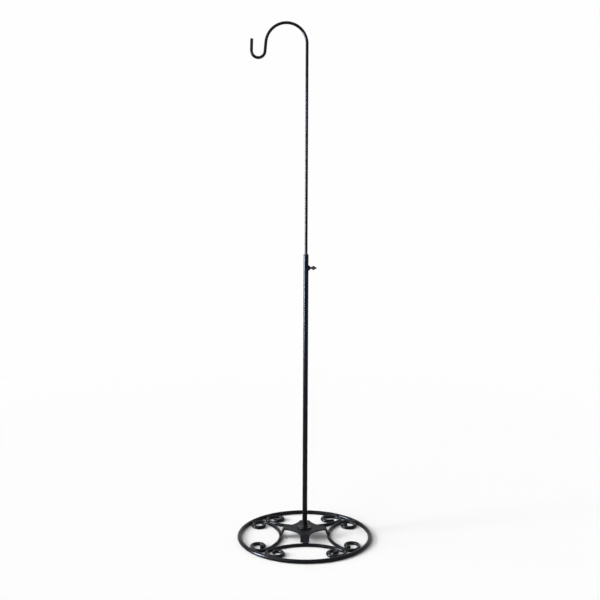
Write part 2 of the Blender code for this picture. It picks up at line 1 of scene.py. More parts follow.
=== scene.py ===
"""Visual model of an adjustable shepherd's hook stand: scrolled ring base, pole and hook.

Lengths are in metres and angles in radians. The origin is on the floor at the centre of the
base ring: +X is to the right of the front view, +Y is away from it and +Z is up. The hook
reaches out along -X, and the wing screw lies along +X.
"""

import logging
import math
from dataclasses import dataclass, field
from enum import Enum
from functools import reduce

import bpy
import numpy as np
from mathutils import Matrix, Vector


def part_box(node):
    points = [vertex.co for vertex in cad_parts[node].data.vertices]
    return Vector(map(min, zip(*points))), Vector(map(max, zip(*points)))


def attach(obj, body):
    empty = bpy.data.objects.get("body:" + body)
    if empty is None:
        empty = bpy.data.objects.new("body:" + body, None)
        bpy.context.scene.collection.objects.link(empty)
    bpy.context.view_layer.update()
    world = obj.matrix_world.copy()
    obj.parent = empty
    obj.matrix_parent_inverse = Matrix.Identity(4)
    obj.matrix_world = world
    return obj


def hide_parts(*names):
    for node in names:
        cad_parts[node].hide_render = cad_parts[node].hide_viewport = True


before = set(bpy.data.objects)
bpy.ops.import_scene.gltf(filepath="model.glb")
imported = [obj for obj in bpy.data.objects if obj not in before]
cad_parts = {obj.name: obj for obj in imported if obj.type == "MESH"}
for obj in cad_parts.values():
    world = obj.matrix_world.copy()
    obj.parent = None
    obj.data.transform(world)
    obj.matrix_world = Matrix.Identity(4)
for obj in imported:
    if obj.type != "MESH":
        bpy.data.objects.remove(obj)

LOG = logging.getLogger("shepherds_hook")
QUARTER = math.pi / 2
X_AXIS = np.array((1.0, 0.0, 0.0))
Y_AXIS = np.array((0.0, 1.0, 0.0))
Z_AXIS = np.array((0.0, 0.0, 1.0))
# Turns what is made round the Z axis, so that it lies along +X.
ALONG_X = np.column_stack([Y_AXIS, Z_AXIS, X_AXIS])
# Sizes that several sub-assemblies share: bars, fasteners and the gap between pieces.
SCROLL_BAR = 0.0079
ROD_RADIUS = 0.003175
STUD_RADIUS = 0.0040
SCREW_HOLE = 0.00275
CLEARANCE = 0.0003


class Body(Enum):
    """Bodies of the frame that a piece can ride on."""

    STAND = "stand"
    GUIDE = "guide"
    HOOK = "hook"
    SCREW = "screw"


class Slot(Enum):
    """Material slots of the record."""

    BLACK_COAT = "black_coat"
    GRAINED_COAT = "grained_coat"
    WELD_COAT = "weld_coat"
    DARK_SCREW = "dark_screw"
    ZINC = "zinc"
    NYLON = "nylon"


class Ends(Enum):
    """How a surface made of rings of points ends."""

    CAPPED = "a point closes each end"
    JOINED = "the last ring runs on into the first"


class Join(Enum):
    """What a tool does to the mesh that it is combined with."""

    ADD = "UNION"
    CUT = "DIFFERENCE"


@dataclass(frozen=True)
class Span:
    """Lowest and highest corner of a node of the frame."""

    low: np.ndarray
    high: np.ndarray

    @classmethod
    def of(cls, node: str) -> "Span":
        """Measure a node at rest.

        Args:
            node: the node's name.

        Returns:
            Its box.
        """
        low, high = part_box(node)
        return cls(np.array(low), np.array(high))

    @property
    def reach(self) -> float:
        """How far the node reaches along +X."""
        return float(self.high[0])

    @property
    def foot(self) -> float:
        """Height of the node's lowest point."""
        return float(self.low[2])

    @property
    def top(self) -> float:
        """Height of the node's highest point."""
        return float(self.high[2])

    @property
    def middle(self) -> np.ndarray:
        """Centre of the box."""
        return (self.low + self.high) / 2


def measured(node: str) -> Span:
    """Dataclass field that holds a node's box, measured when its object is made."""
    return field(default_factory=lambda: Span.of(node))


def linked(name: str, data: bpy.types.ID) -> bpy.types.Object:
    """Put new data into the scene.

    Args:
        name: the object's name.
        data: its mesh, lamp or camera.

    Returns:
        The new object.
    """
    made = bpy.data.objects.new(name, data)
    bpy.context.scene.collection.objects.link(made)
    return made


@dataclass(frozen=True)
class Skin:
    """A closed surface: its points, its four-sided faces and its three-sided ones."""

    points: np.ndarray
    quads: np.ndarray
    fans: np.ndarray

    @classmethod
    def over(cls, rings: np.ndarray, ends: Ends) -> "Skin":
        """Span a grid of rings with faces that point outwards.

        Each point joins its neighbours in the ring and the same point of the next ring.
        A cap is a fan from the last ring to the mean of its points.

        Args:
            rings: points as (ring, place in the ring, axis).
            ends: how the first and the last ring are closed.

        Returns:
            The closed surface.
        """
        rows, columns = rings.shape[:2]
        index = np.arange(rows * columns).reshape(rows, columns)
        points = rings.reshape(-1, 3)
        fans = np.empty((0, 3), int)
        if ends is Ends.JOINED:
            index = np.vstack([index, index[:1]])
        else:
            first, last = index[0], index[-1]
            low, high = np.full(columns, len(points)), np.full(columns, len(points) + 1)
            fans = np.vstack([np.stack([np.roll(first, -1), first, low], -1),
                              np.stack([last, np.roll(last, -1), high], -1)])
            points = np.vstack([points, rings[0].mean(0), rings[-1].mean(0)])
        beside = np.roll(index, -1, axis=1)
        quads = np.stack([index[:-1], beside[:-1], beside[1:], index[1:]], -1)
        return cls(points, quads.reshape(-1, 4), fans).outwards()

    def volume(self) -> float:
        """Signed volume: the sum over all triangles a, b, c of a . (b x c) / 6.

        Returns:
            The volume, which is negative where the faces point inwards.
        """
        halves = np.vstack([self.quads[:, [0, 1, 2]], self.quads[:, [0, 2, 3]], self.fans])
        a, b, c = (self.points[halves[:, corner]] for corner in range(3))
        return float((a * np.cross(b, c)).sum() / 6)

    def outwards(self) -> "Skin":
        """Turn the faces over where they point inwards.

        Returns:
            The same surface with its faces pointing out.
        """
        if self.volume() >= 0.0:
            return self
        return Skin(self.points, self.quads[:, ::-1], self.fans[:, ::-1])

    def mapped(self, matrix: np.ndarray, shift: np.ndarray) -> "Skin":
        """Move the surface: each point p becomes matrix p + shift.

        Args:
            matrix: three rows of three numbers.
            shift: the move that follows.

        Returns:
            The moved surface.
        """
        return Skin(self.points @ matrix.T + shift, self.quads, self.fans).outwards()

    def mesh(self, name: str) -> bpy.types.Mesh:
        """Put the surface into a smooth-shaded mesh.

        Args:
            name: the mesh's name.

        Returns:
            The new mesh.
        """
        made = bpy.data.meshes.new(name)
        made.from_pydata(self.points.tolist(), [], self.quads.tolist() + self.fans.tolist())
        made.shade_smooth()
        return made

    def shown(self, name: str) -> bpy.types.Object:
        """The surface as an object in the scene."""
        return linked(name, self.mesh(name))


@dataclass(frozen=True)
class Lumps:
    """Smooth unevenness, the sum of waves that run in all directions.

    With directions d, wavelengths w and shifts s drawn from the seed, the height at a point p
    is depth / sqrt(waves) times the sum of sin(2 pi d . p / w + s). A wave is from 0.7 to 1.5
    times as long as the wavelength.
    """

    wavelength: float
    depth: float
    seed: int
    waves: int = 20

    def at(self, points: np.ndarray) -> np.ndarray:
        """Height of the unevenness at the points.

        Args:
            points: places, the last axis being x, y and z.

        Returns:
            One height for each point.
        """
        draw = np.random.default_rng(self.seed)
        directions = draw.normal(size=(3, self.waves))
        directions /= np.linalg.norm(directions, axis=0)
        lengths = self.wavelength * draw.uniform(0.7, 1.5, self.waves)
        shifts = draw.uniform(0.0, math.tau, self.waves)
        phases = points @ (directions * math.tau / lengths) + shifts
        return self.depth / math.sqrt(self.waves) * np.sin(phases).sum(-1)


class Bends:
    """A flat line drawn as straight runs and tangent arcs, as a bar is bent."""

    def __init__(self, place: tuple[float, float], heading: float, pace: float = 0.0005) -> None:
        """Start the line.

        Args:
            place: first point.
            heading: direction from the first axis, anticlockwise.
            pace: distance between the points of the line.
        """
        self.parts = [np.array([place])]
        self.heading = heading
        self.pace = pace

    def run(self, length: float) -> "Bends":
        """Go straight on.

        Args:
            length: how far.

        Returns:
            The same line, longer.
        """
        if length > 0.0:
            steps = max(2, math.ceil(length / self.pace))
            along = np.linspace(0.0, length, steps + 1)[1:, None]
            ahead = np.array([math.cos(self.heading), math.sin(self.heading)])
            self.parts.append(self.parts[-1][-1] + along * ahead)
        return self

    def turn(self, radius: float, sweep: float) -> "Bends":
        """Turn right on an arc, or left where the sweep is negative.

        The points are centre + radius (-sin a, cos a), where a falls from the old heading to
        the new one; both signs change for a left turn.

        Args:
            radius: of the arc.
            sweep: angle turned through.

        Returns:
            The same line, longer.
        """
        signed = math.copysign(radius, sweep)
        start = self.parts[-1][-1]
        centre = start + signed * np.array([math.sin(self.heading), -math.cos(self.heading)])
        steps = max(6, math.ceil(radius * abs(sweep) / self.pace))
        angle = self.heading - np.linspace(0.0, sweep, steps + 1)[1:]
        self.parts.append(centre + signed * np.stack([-np.sin(angle), np.cos(angle)], -1))
        self.heading -= sweep
        return self

    def points(self) -> np.ndarray:
        """All points of the line so far."""
        return np.vstack(self.parts)


def bearings(sides: int) -> np.ndarray:
    """Equal steps of angle round an axis, as one row."""
    return (np.arange(sides) * math.tau / sides)[None]


def marks_along(points: np.ndarray) -> np.ndarray:
    """Distance of each point of a line from the line's start, along it."""
    steps = np.linalg.norm(np.diff(points, axis=0), axis=1)
    return np.concatenate([[0.0], np.cumsum(steps)])


@dataclass(frozen=True)
class Route:
    """A line in one plane, read by the distance along it."""

    points: np.ndarray
    plane: np.ndarray

    @property
    def marks(self) -> np.ndarray:
        """Distance along the line of each of its points."""
        return marks_along(self.points)

    @property
    def length(self) -> float:
        """Length of the whole line."""
        return float(self.marks[-1])

    def read(self, distances: np.ndarray, values: np.ndarray) -> np.ndarray:
        """Values between the line's points, by straight interpolation.

        Args:
            distances: places along the line.
            values: three numbers for each point of the line.

        Returns:
            Three numbers for each distance.
        """
        marks = self.marks
        return np.stack([np.interp(distances, marks, values[:, axis]) for axis in range(3)], -1)

    def carry(self, distances: np.ndarray, wide: np.ndarray, tall: np.ndarray,
              sides: int) -> np.ndarray:
        """Carry an oval along the line.

        At angle t the oval's point is place + wide cos t side + tall sin t plane, where side
        is square to the line in its plane.

        Args:
            distances: where the rings stand.
            wide: half width in the line's plane, for each ring, or for each point of it.
            tall: half height square to the plane, likewise.
            sides: points of each ring.

        Returns:
            The rings as (ring, place in the ring, axis).
        """
        heading = self.read(distances, np.gradient(self.points, self.marks, axis=0))
        heading /= np.linalg.norm(heading, axis=1, keepdims=True)
        side = np.cross(heading, self.plane)
        angle = bearings(sides)
        across = np.reshape(wide, (len(distances), -1)) * np.cos(angle)
        above = np.reshape(tall, (len(distances), -1)) * np.sin(angle)
        place = self.read(distances, self.points)[:, None]
        return place + across[..., None] * side[:, None] + above[..., None] * self.plane


@dataclass(frozen=True)
class BarStock:
    """Round bar as it is cut and bent: its radius, its eased cuts and its slight unevenness."""

    radius: float
    ease: float
    seed: int
    pace: float = 0.001
    sides: int = 32
    unevenness: float = 0.00004

    def formed(self, route: Route, bulge: np.ndarray | None = None) -> Skin:
        """Carry the bar's circle along a route.

        Within the ease e of a cut, at distance d from it, the radius is that of a rounded
        edge: radius - e + sqrt(e^2 - (e - d)^2). Elsewhere it is the bar's own, less the
        unevenness. A small ring in the cut's plane keeps the cut flat.

        Args:
            route: the bar's centreline.
            bulge: wide and tall factors at 0, 1, 2 ... paces along the bar, if it isn't plain.

        Returns:
            The bar's surface.
        """
        corner = self.ease * (1.0 - np.cos(np.linspace(0.0, QUARTER, 7)))
        rows = max(4, round((route.length - 2 * self.ease) / self.pace))
        inner = np.linspace(self.ease, route.length - self.ease, rows + 1)[1:-1]
        marks = np.concatenate([[0.0], corner, inner, route.length - corner[::-1],
                                [route.length]])
        near = np.minimum(np.minimum(marks, route.length - marks), self.ease)
        round_off = self.ease - np.sqrt(self.ease ** 2 - (self.ease - near) ** 2)
        radii = self.radius - round_off
        radii[[0, -1]] = self.radius - 1.5 * self.ease
        place = route.read(marks, route.points)
        worn = np.abs(Lumps(14 * self.radius, self.unevenness, self.seed).at(place))
        wide, tall = radii - worn, radii - worn
        if bulge is not None:
            stations = np.arange(len(bulge)) * self.pace
            wide = wide * np.interp(marks, stations, bulge[:, 0])
            tall = tall * np.interp(marks, stations, bulge[:, 1])
        return Skin.over(route.carry(marks, wide, tall, self.sides), Ends.CAPPED)


def eased(corners: list[tuple[float, float]], ease: float, closed: bool = True,
          steps: int = 5) -> np.ndarray:
    """Round the corners of a profile.

    A corner P between lines along a and b becomes P - e a (1 - t)^2 + e b t^2 for t from 0 to
    1, where e is the ease, or 0.34 of the shorter line where that is less. One more point on
    each line, 0.4 e further off, keeps the flat stretch flat.

    Args:
        corners: points of the profile.
        ease: how far from its corner each curve starts.
        closed: whether the last point runs on into the first.
        steps: number of lines in each curve.

    Returns:
        The rounded profile.
    """
    at = np.array(corners)
    before, after = at - np.roll(at, 1, axis=0), np.roll(at, -1, axis=0) - at
    spans = [np.linalg.norm(line, axis=1, keepdims=True) for line in (before, after)]
    reach = np.minimum(ease, 0.34 * np.minimum(*spans))[:, None]
    a, b = before / spans[0], after / spans[1]
    share = np.linspace(0.0, 1.0, steps + 1)[None, :, None]
    curve = at[:, None] - reach * a[:, None] * (1 - share) ** 2 + reach * b[:, None] * share ** 2
    start = (at - 1.4 * reach[:, 0] * a)[:, None]
    stop = (at + 1.4 * reach[:, 0] * b)[:, None]
    rounds = np.concatenate([start, curve, stop], axis=1)
    if closed:
        return rounds.reshape(-1, 2)
    return np.vstack([at[:1], rounds[1:-1].reshape(-1, 2), at[-1:]])


def turned(radius: np.ndarray, angle: np.ndarray, height: np.ndarray, ends: Ends) -> Skin:
    """Surface worked out round the Z axis: x = r cos a, y = r sin a and z = h.

    Args:
        radius: distance from the axis, as (ring, place in the ring) or one row or column of it.
        angle: bearing, likewise.
        height: likewise.
        ends: how the first and the last ring are closed.

    Returns:
        The closed surface.
    """
    grids = np.broadcast_arrays(radius * np.cos(angle), radius * np.sin(angle), height)
    return Skin.over(np.stack(grids, -1), ends)


def spun(profile: np.ndarray, sides: int, ends: Ends = Ends.JOINED) -> Skin:
    """Carry a profile of (radius, height) round the Z axis.

    Args:
        profile: points of the profile.
        sides: number of points round the axis.
        ends: JOINED for a hollow piece, CAPPED for one whose ends are closed discs.

    Returns:
        The turned surface.
    """
    return turned(profile[:, :1], bearings(sides), profile[:, 1:], ends)


def threaded(height: np.ndarray, angle: np.ndarray, pitch: float, depth: float) -> np.ndarray:
    """Depth of a V thread below its crest: a triangle wave of the turns climbed.

    The phase is height / pitch - angle / (2 pi); the depth goes from 0 at a crest to the full
    one half a turn on, with a little flat at both.

    Args:
        height: place along the screw's axis.
        angle: place round it.
        pitch: climb of one turn.
        depth: of the thread.

    Returns:
        How far the surface lies below the crest.
    """
    flat_share = 0.12
    phase = (height / pitch - angle / math.tau) % 1.0
    wave = 1.0 - np.abs(2.0 * phase - 1.0)
    return depth * np.clip((wave - flat_share) / (1.0 - 2.0 * flat_share), 0.0, 1.0)


def fuse(base: bpy.types.Object, tool: bpy.types.Object, join: Join) -> None:
    """Combine a mesh with a tool that is then removed, and keep only the result.

    Args:
        base: the object that is changed.
        tool: the object that is added or taken away.
        join: which of the two.
    """
    step = base.modifiers.new("combine", "BOOLEAN")
    step.operation = join.value
    step.solver = "EXACT"
    step.object = tool
    settle(base)
    bpy.data.objects.remove(tool, do_unlink=True)


def settle(piece: bpy.types.Object) -> None:
    """Replace the object's mesh by what its modifiers make of it.

    Args:
        piece: the object, whose modifiers go.
    """
    bpy.context.view_layer.update()
    final = bpy.data.meshes.new_from_object(piece.evaluated_get(
        bpy.context.evaluated_depsgraph_get()))
    piece.modifiers.clear()
    piece.data = final
    final.shade_smooth()


class Wiring:
    """Places nodes in one node tree and joins their sockets."""

    def __init__(self, tree: bpy.types.NodeTree) -> None:
        """Keep the tree that nodes are placed in."""
        self.tree = tree

    def add(self, kind: str, inputs: dict | None = None, **settings: object) -> bpy.types.Node:
        """Place a node.

        Args:
            kind: Blender's name of the node.
            inputs: for a socket's name or number, its value or the socket that feeds it.
            settings: the node's own options.

        Returns:
            The node.
        """
        node = self.tree.nodes.new(kind)
        for option, value in settings.items():
            setattr(node, option, value)
        for key, value in (inputs or {}).items():
            socket = node.inputs[key]
            if isinstance(value, bpy.types.NodeSocket):
                self.tree.links.new(value, socket)
            else:
                socket.default_value = value
        return node

    def group(self, effect: bpy.types.NodeTree, **inputs: object) -> bpy.types.Node:
        """Place a node group, with its inputs."""
        return self.add("ShaderNodeGroup", inputs, node_tree=effect)

    def maths(self, operation: str, *terms: object) -> bpy.types.NodeSocket:
        """Result of a Math node on numbers or sockets."""
        return self.add("ShaderNodeMath", dict(enumerate(terms)), operation=operation).outputs[0]

    def product(self, *factors: object) -> bpy.types.NodeSocket:
        """Product of numbers or sockets."""
        return reduce(lambda first, second: self.maths("MULTIPLY", first, second), factors)

    def average(self, first: object, second: object, share: float) -> bpy.types.NodeSocket:
        """The first value's share and the rest of the second one."""
        return self.maths("ADD", self.product(first, share), self.product(second, 1.0 - share))

    def noise(self, vector: bpy.types.NodeSocket, scale: object, detail: float = 2.0,
              roughness: float = 0.5) -> bpy.types.NodeSocket:
        """Height of a noise pattern."""
        inputs = {"Vector": vector, "Scale": scale, "Detail": detail, "Roughness": roughness}
        return self.add("ShaderNodeTexNoise", inputs).outputs["Fac"]

    def spread(self, value: bpy.types.NodeSocket, low: float, high: float, to_low: float = 0.0,
               to_high: float = 1.0) -> bpy.types.NodeSocket:
        """Map a value from one range to another and hold it there."""
        inputs = {0: value, 1: low, 2: high, 3: to_low, 4: to_high}
        return self.add("ShaderNodeMapRange", inputs).outputs[0]

    def mix(self, share: object, first: object, second: object) -> bpy.types.NodeSocket:
        """Blend two colours by a share."""
        inputs = {0: share, 6: first, 7: second}
        return self.add("ShaderNodeMix", inputs, data_type="RGBA").outputs[2]


class Effects:
    """Shader node groups that the finishes share, each built once."""

    def __init__(self) -> None:
        """Build every group."""
        self.peel = self._peel()
        self.mottle = self._mottle()
        self.dust = self._dust()
        self.scuffs = self._scuffs()

    @staticmethod
    def _start(name: str, inputs: dict[str, str], outputs: dict[str, str]
               ) -> tuple[bpy.types.NodeTree, Wiring, bpy.types.Node, bpy.types.Node]:
        """Make an empty group.

        Args:
            name: the group's name.
            inputs: socket type for each input's name.
            outputs: socket type for each output's name.

        Returns:
            The group, its wiring, its input node and its output node.
        """
        group = bpy.data.node_groups.new(name, "ShaderNodeTree")
        for label, kind in inputs.items():
            group.interface.new_socket(label, in_out="INPUT", socket_type=kind)
        for label, kind in outputs.items():
            group.interface.new_socket(label, in_out="OUTPUT", socket_type=kind)
        wiring = Wiring(group)
        return group, wiring, wiring.add("NodeGroupInput"), wiring.add("NodeGroupOutput")

    def _peel(self) -> bpy.types.NodeTree:
        """Orange peel: soft round swellings of one size, with a finer grit on them.

        Half the height is the swellings and half a broader noise; the grit is a finer noise.

        Returns:
            The group, from place, swellings per metre and share of grit to a height near 0 to 1.
        """
        group, wiring, given, result = self._start(
            "orange_peel",
            {"Vector": "NodeSocketVector", "Scale": "NodeSocketFloat", "Grit": "NodeSocketFloat"},
            {"Height": "NodeSocketFloat"})
        vector, scale = given.outputs["Vector"], given.outputs["Scale"]
        cells = wiring.add("ShaderNodeTexVoronoi", {"Vector": vector, "Scale": scale},
                           feature="SMOOTH_F1").outputs["Distance"]
        swell = wiring.spread(cells, 0.0, 0.8, to_low=1.0, to_high=0.0)
        broad = wiring.noise(vector, wiring.product(scale, 0.45), detail=1.0)
        fine = wiring.noise(vector, wiring.product(scale, 3.1), roughness=0.6)
        grit = wiring.product(wiring.maths("SUBTRACT", fine, 0.5), given.outputs["Grit"])
        height = wiring.maths("ADD", wiring.average(swell, broad, 0.5), grit)
        wiring.tree.links.new(height, result.inputs["Height"])
        return group

    def _mottle(self) -> bpy.types.NodeTree:
        """Uneven colour: two colours blended by a soft broad noise and a finer one.

        Returns:
            The group, from place, patches per metre and two colours to their blend and its share.
        """
        group, wiring, given, result = self._start(
            "mottle",
            {"Vector": "NodeSocketVector", "Scale": "NodeSocketFloat",
             "Dark": "NodeSocketColor", "Light": "NodeSocketColor"},
            {"Color": "NodeSocketColor", "Share": "NodeSocketFloat"})
        vector, scale = given.outputs["Vector"], given.outputs["Scale"]
        broad = wiring.noise(vector, scale, detail=3.0, roughness=0.55)
        fine = wiring.noise(vector, wiring.product(scale, 9.0), detail=3.0, roughness=0.6)
        share = wiring.spread(wiring.average(broad, fine, 0.6), 0.36, 0.64)
        colour = wiring.mix(share, given.outputs["Dark"], given.outputs["Light"])
        wiring.tree.links.new(colour, result.inputs["Color"])
        wiring.tree.links.new(share, result.inputs["Share"])
        return group

    def _dust(self) -> bpy.types.NodeTree:
        """Dust that settles: patches of specks on what faces up, strongest on level surfaces.

        Returns:
            The group, from place, normal and amount to a mask.
        """
        group, wiring, given, result = self._start(
            "settled_dust",
            {"Vector": "NodeSocketVector", "Normal": "NodeSocketVector",
             "Amount": "NodeSocketFloat"},
            {"Mask": "NodeSocketFloat"})
        vector = given.outputs["Vector"]
        up = wiring.add("ShaderNodeSeparateXYZ", {0: given.outputs["Normal"]}).outputs["Z"]
        level = wiring.spread(up, 0.45, 1.0)
        patches = wiring.spread(wiring.noise(vector, 85.0, 5.0, 0.65), 0.38, 0.72)
        specks = wiring.spread(wiring.noise(vector, 1900.0, 1.0), 0.45, 0.7, to_low=0.35)
        mask = wiring.product(level, patches, specks, given.outputs["Amount"])
        wiring.tree.links.new(mask, result.inputs["Mask"])
        return group

    def _scuffs(self) -> bpy.types.NodeTree:
        """Fine rubbed lines: where either of two noises, drawn out along an axis, is near 0.5.

        Returns:
            The group, from place and amount to a mask, which a third noise keeps to patches.
        """
        group, wiring, given, result = self._start(
            "scuffs",
            {"Vector": "NodeSocketVector", "Amount": "NodeSocketFloat"},
            {"Mask": "NodeSocketFloat"})
        vector = given.outputs["Vector"]
        lines = []
        for stretch in ((40.0, 260.0, 900.0), (700.0, 60.0, 90.0)):
            drawn = wiring.add("ShaderNodeMapping", {0: vector, "Scale": stretch})
            level = wiring.noise(drawn.outputs[0], 1.0, roughness=0.55)
            off = wiring.maths("ABSOLUTE", wiring.maths("SUBTRACT", level, 0.5))
            lines.append(wiring.spread(off, 0.0, 0.012, to_low=1.0, to_high=0.0))
        patches = wiring.spread(wiring.noise(vector, 45.0), 0.5, 0.62)
        mask = wiring.product(wiring.maths("MAXIMUM", *lines), patches, given.outputs["Amount"])
        wiring.tree.links.new(mask, result.inputs["Mask"])
        return group


class Blank(Wiring):
    """A new material: its nodes, its Principled BSDF and the place on the piece."""

    def __init__(self, name: str) -> None:
        """Start the material.

        Args:
            name: the material's name.
        """
        self.material = bpy.data.materials.new(name)
        self.material.use_nodes = True
        super().__init__(self.material.node_tree)
        self.shader = self.tree.nodes["Principled BSDF"]
        self.place = self.add("ShaderNodeTexCoord").outputs["Object"]

    def feed(self, socket: str, value: bpy.types.NodeSocket) -> None:
        """Link a value to a socket of the shader."""
        self.tree.links.new(value, self.shader.inputs[socket])

    def emboss(self, height: bpy.types.NodeSocket, depth: float) -> None:
        """Raise the surface by a height times a depth."""
        bump = self.add("ShaderNodeBump", {"Strength": 1.0, "Distance": depth, "Height": height})
        self.feed("Normal", bump.outputs["Normal"])


@dataclass(frozen=True)
class Coat:
    """Powder coat: orange peel over a dark colour, with faint mottling, dust and scuffs."""

    name: str
    dark: tuple[float, float, float]
    light: tuple[float, float, float]
    sleek: float
    dull: float
    specular: float
    peel_scale: float
    peel_depth: float
    grit: float
    dust: float
    scuffs: float
    mottle_scale: float = 60.0
    worn_dulling: float = 0.25
    tint: tuple[float, float, float] = (0.84, 0.88, 1.0)
    dust_colour: tuple[float, float, float] = (0.16, 0.155, 0.15)
    rubbed_colour: tuple[float, float, float] = (0.055, 0.055, 0.058)

    def material(self, effects: Effects) -> bpy.types.Material:
        """Build the coat.

        Args:
            effects: the shared node groups.

        Returns:
            The material.
        """
        blank = Blank(self.name)
        normal = blank.add("ShaderNodeNewGeometry").outputs["Normal"]
        mottle = blank.group(effects.mottle, Vector=blank.place, Scale=self.mottle_scale,
                             Dark=(*self.dark, 1.0), Light=(*self.light, 1.0))
        peel = blank.group(effects.peel, Vector=blank.place, Scale=self.peel_scale,
                           Grit=self.grit)
        dust = blank.group(effects.dust, Vector=blank.place, Normal=normal,
                           Amount=self.dust).outputs["Mask"]
        scuffs = blank.group(effects.scuffs, Vector=blank.place,
                             Amount=self.scuffs).outputs["Mask"]
        rubbed = blank.mix(scuffs, mottle.outputs["Color"], (*self.rubbed_colour, 1.0))
        gloss = blank.spread(mottle.outputs["Share"], 0.0, 1.0, self.sleek, self.dull)
        worn = blank.product(blank.maths("MAXIMUM", dust, scuffs), self.worn_dulling)
        blank.feed("Base Color", blank.mix(dust, rubbed, (*self.dust_colour, 1.0)))
        blank.feed("Roughness", blank.maths("ADD", gloss, worn))
        blank.emboss(peel.outputs["Height"], self.peel_depth)
        blank.shader.inputs["Specular IOR Level"].default_value = self.specular
        blank.shader.inputs["Specular Tint"].default_value = (*self.tint, 1.0)
        return blank.material


@dataclass(frozen=True)
class BareFinish:
    """Zinc plating or moulded nylon: mottled colour, a fine grain and rubbed lines."""

    name: str
    dark: tuple[float, float, float]
    light: tuple[float, float, float]
    mottle_scale: float
    dark_roughness: float
    light_roughness: float
    rubbed_roughening: float
    grain_scale: float
    grain_depth: float
    grit: float
    scuffs: float
    metallic: float

    def material(self, effects: Effects) -> bpy.types.Material:
        """Build the finish.

        Args:
            effects: the shared node groups.

        Returns:
            The material.
        """
        blank = Blank(self.name)
        mottle = blank.group(effects.mottle, Vector=blank.place, Scale=self.mottle_scale,
                             Dark=(*self.dark, 1.0), Light=(*self.light, 1.0))
        grain = blank.group(effects.peel, Vector=blank.place, Scale=self.grain_scale,
                            Grit=self.grit)
        scuffs = blank.group(effects.scuffs, Vector=blank.place, Amount=self.scuffs)
        rough = blank.spread(mottle.outputs["Share"], 0.0, 1.0, self.dark_roughness,
                             self.light_roughness)
        rubbed = blank.product(scuffs.outputs["Mask"], self.rubbed_roughening)
        blank.feed("Base Color", mottle.outputs["Color"])
        blank.feed("Roughness", blank.maths("ADD", rough, rubbed))
        blank.emboss(grain.outputs["Height"], self.grain_depth)
        blank.shader.inputs["Metallic"].default_value = self.metallic
        return blank.material


class Palette:
    """The material of each slot, built once."""

    finishes: dict[Slot, Coat | BareFinish] = {
        Slot.BLACK_COAT: Coat(
            "black_powder_coat", dark=(0.0022, 0.0023, 0.0029), light=(0.0045, 0.0047, 0.0056),
            sleek=0.15, dull=0.25, specular=0.10, peel_scale=900.0, peel_depth=0.00002,
            grit=0.25, dust=0.02, scuffs=0.12),
        Slot.GRAINED_COAT: Coat(
            "grained_plate_coat", dark=(0.0014, 0.0014, 0.0018), light=(0.0066, 0.0066, 0.0078),
            sleek=0.34, dull=0.50, specular=0.07, peel_scale=420.0, peel_depth=0.00060,
            grit=1.0, dust=0.05, scuffs=0.08),
        Slot.WELD_COAT: Coat(
            "weld_bead_coat", dark=(0.0025, 0.0026, 0.0032), light=(0.0060, 0.0062, 0.0072),
            sleek=0.18, dull=0.30, specular=0.12, peel_scale=1400.0, peel_depth=0.00006,
            grit=0.6, dust=0.03, scuffs=0.06),
        Slot.DARK_SCREW: Coat(
            "cast_screw_coat", dark=(0.0026, 0.0026, 0.0031), light=(0.0080, 0.0080, 0.0090),
            sleek=0.26, dull=0.42, specular=0.11, peel_scale=1700.0, peel_depth=0.00008,
            grit=0.8, dust=0.02, scuffs=0.45, rubbed_colour=(0.06, 0.06, 0.066)),
        Slot.ZINC: BareFinish(
            "bright_zinc", dark=(0.45, 0.46, 0.49), light=(0.66, 0.67, 0.70),
            mottle_scale=240.0, dark_roughness=0.42, light_roughness=0.26,
            rubbed_roughening=0.2, grain_scale=1500.0, grain_depth=0.00003, grit=0.8,
            scuffs=0.7, metallic=1.0),
        Slot.NYLON: BareFinish(
            "moulded_nylon", dark=(0.014, 0.014, 0.015), light=(0.030, 0.030, 0.031),
            mottle_scale=300.0, dark_roughness=0.5, light_roughness=0.62,
            rubbed_roughening=-0.2, grain_scale=2600.0, grain_depth=0.00005, grit=1.0,
            scuffs=0.5, metallic=0.0),
    }

    def __init__(self) -> None:
        """Build the shared effects and every material."""
        effects = Effects()
        self.materials = {slot: finish.material(effects)
                          for slot, finish in self.finishes.items()}


@dataclass(frozen=True)
class Workshop:
    """Turns finished surfaces into pieces that stand for nodes of the frame."""

    palette: Palette

    def place(self, node: str, body: Body, slot: Slot, shape: Skin | bpy.types.Object) -> None:
        """Show a shape in a node's place.

        Args:
            node: the node that it stands for.
            body: what it rides on.
            slot: its material.
            shape: a surface, or an object already made of one.
        """
        name = f"{node}_form"
        made = shape.shown(name) if isinstance(shape, Skin) else shape
        made.name = name
        made.data.materials.clear()
        made.data.materials.append(self.palette.materials[slot])
        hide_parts(node)
        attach(made, body.value)
        LOG.info("%s on %s: %d faces", name, body.value, len(made.data.polygons))


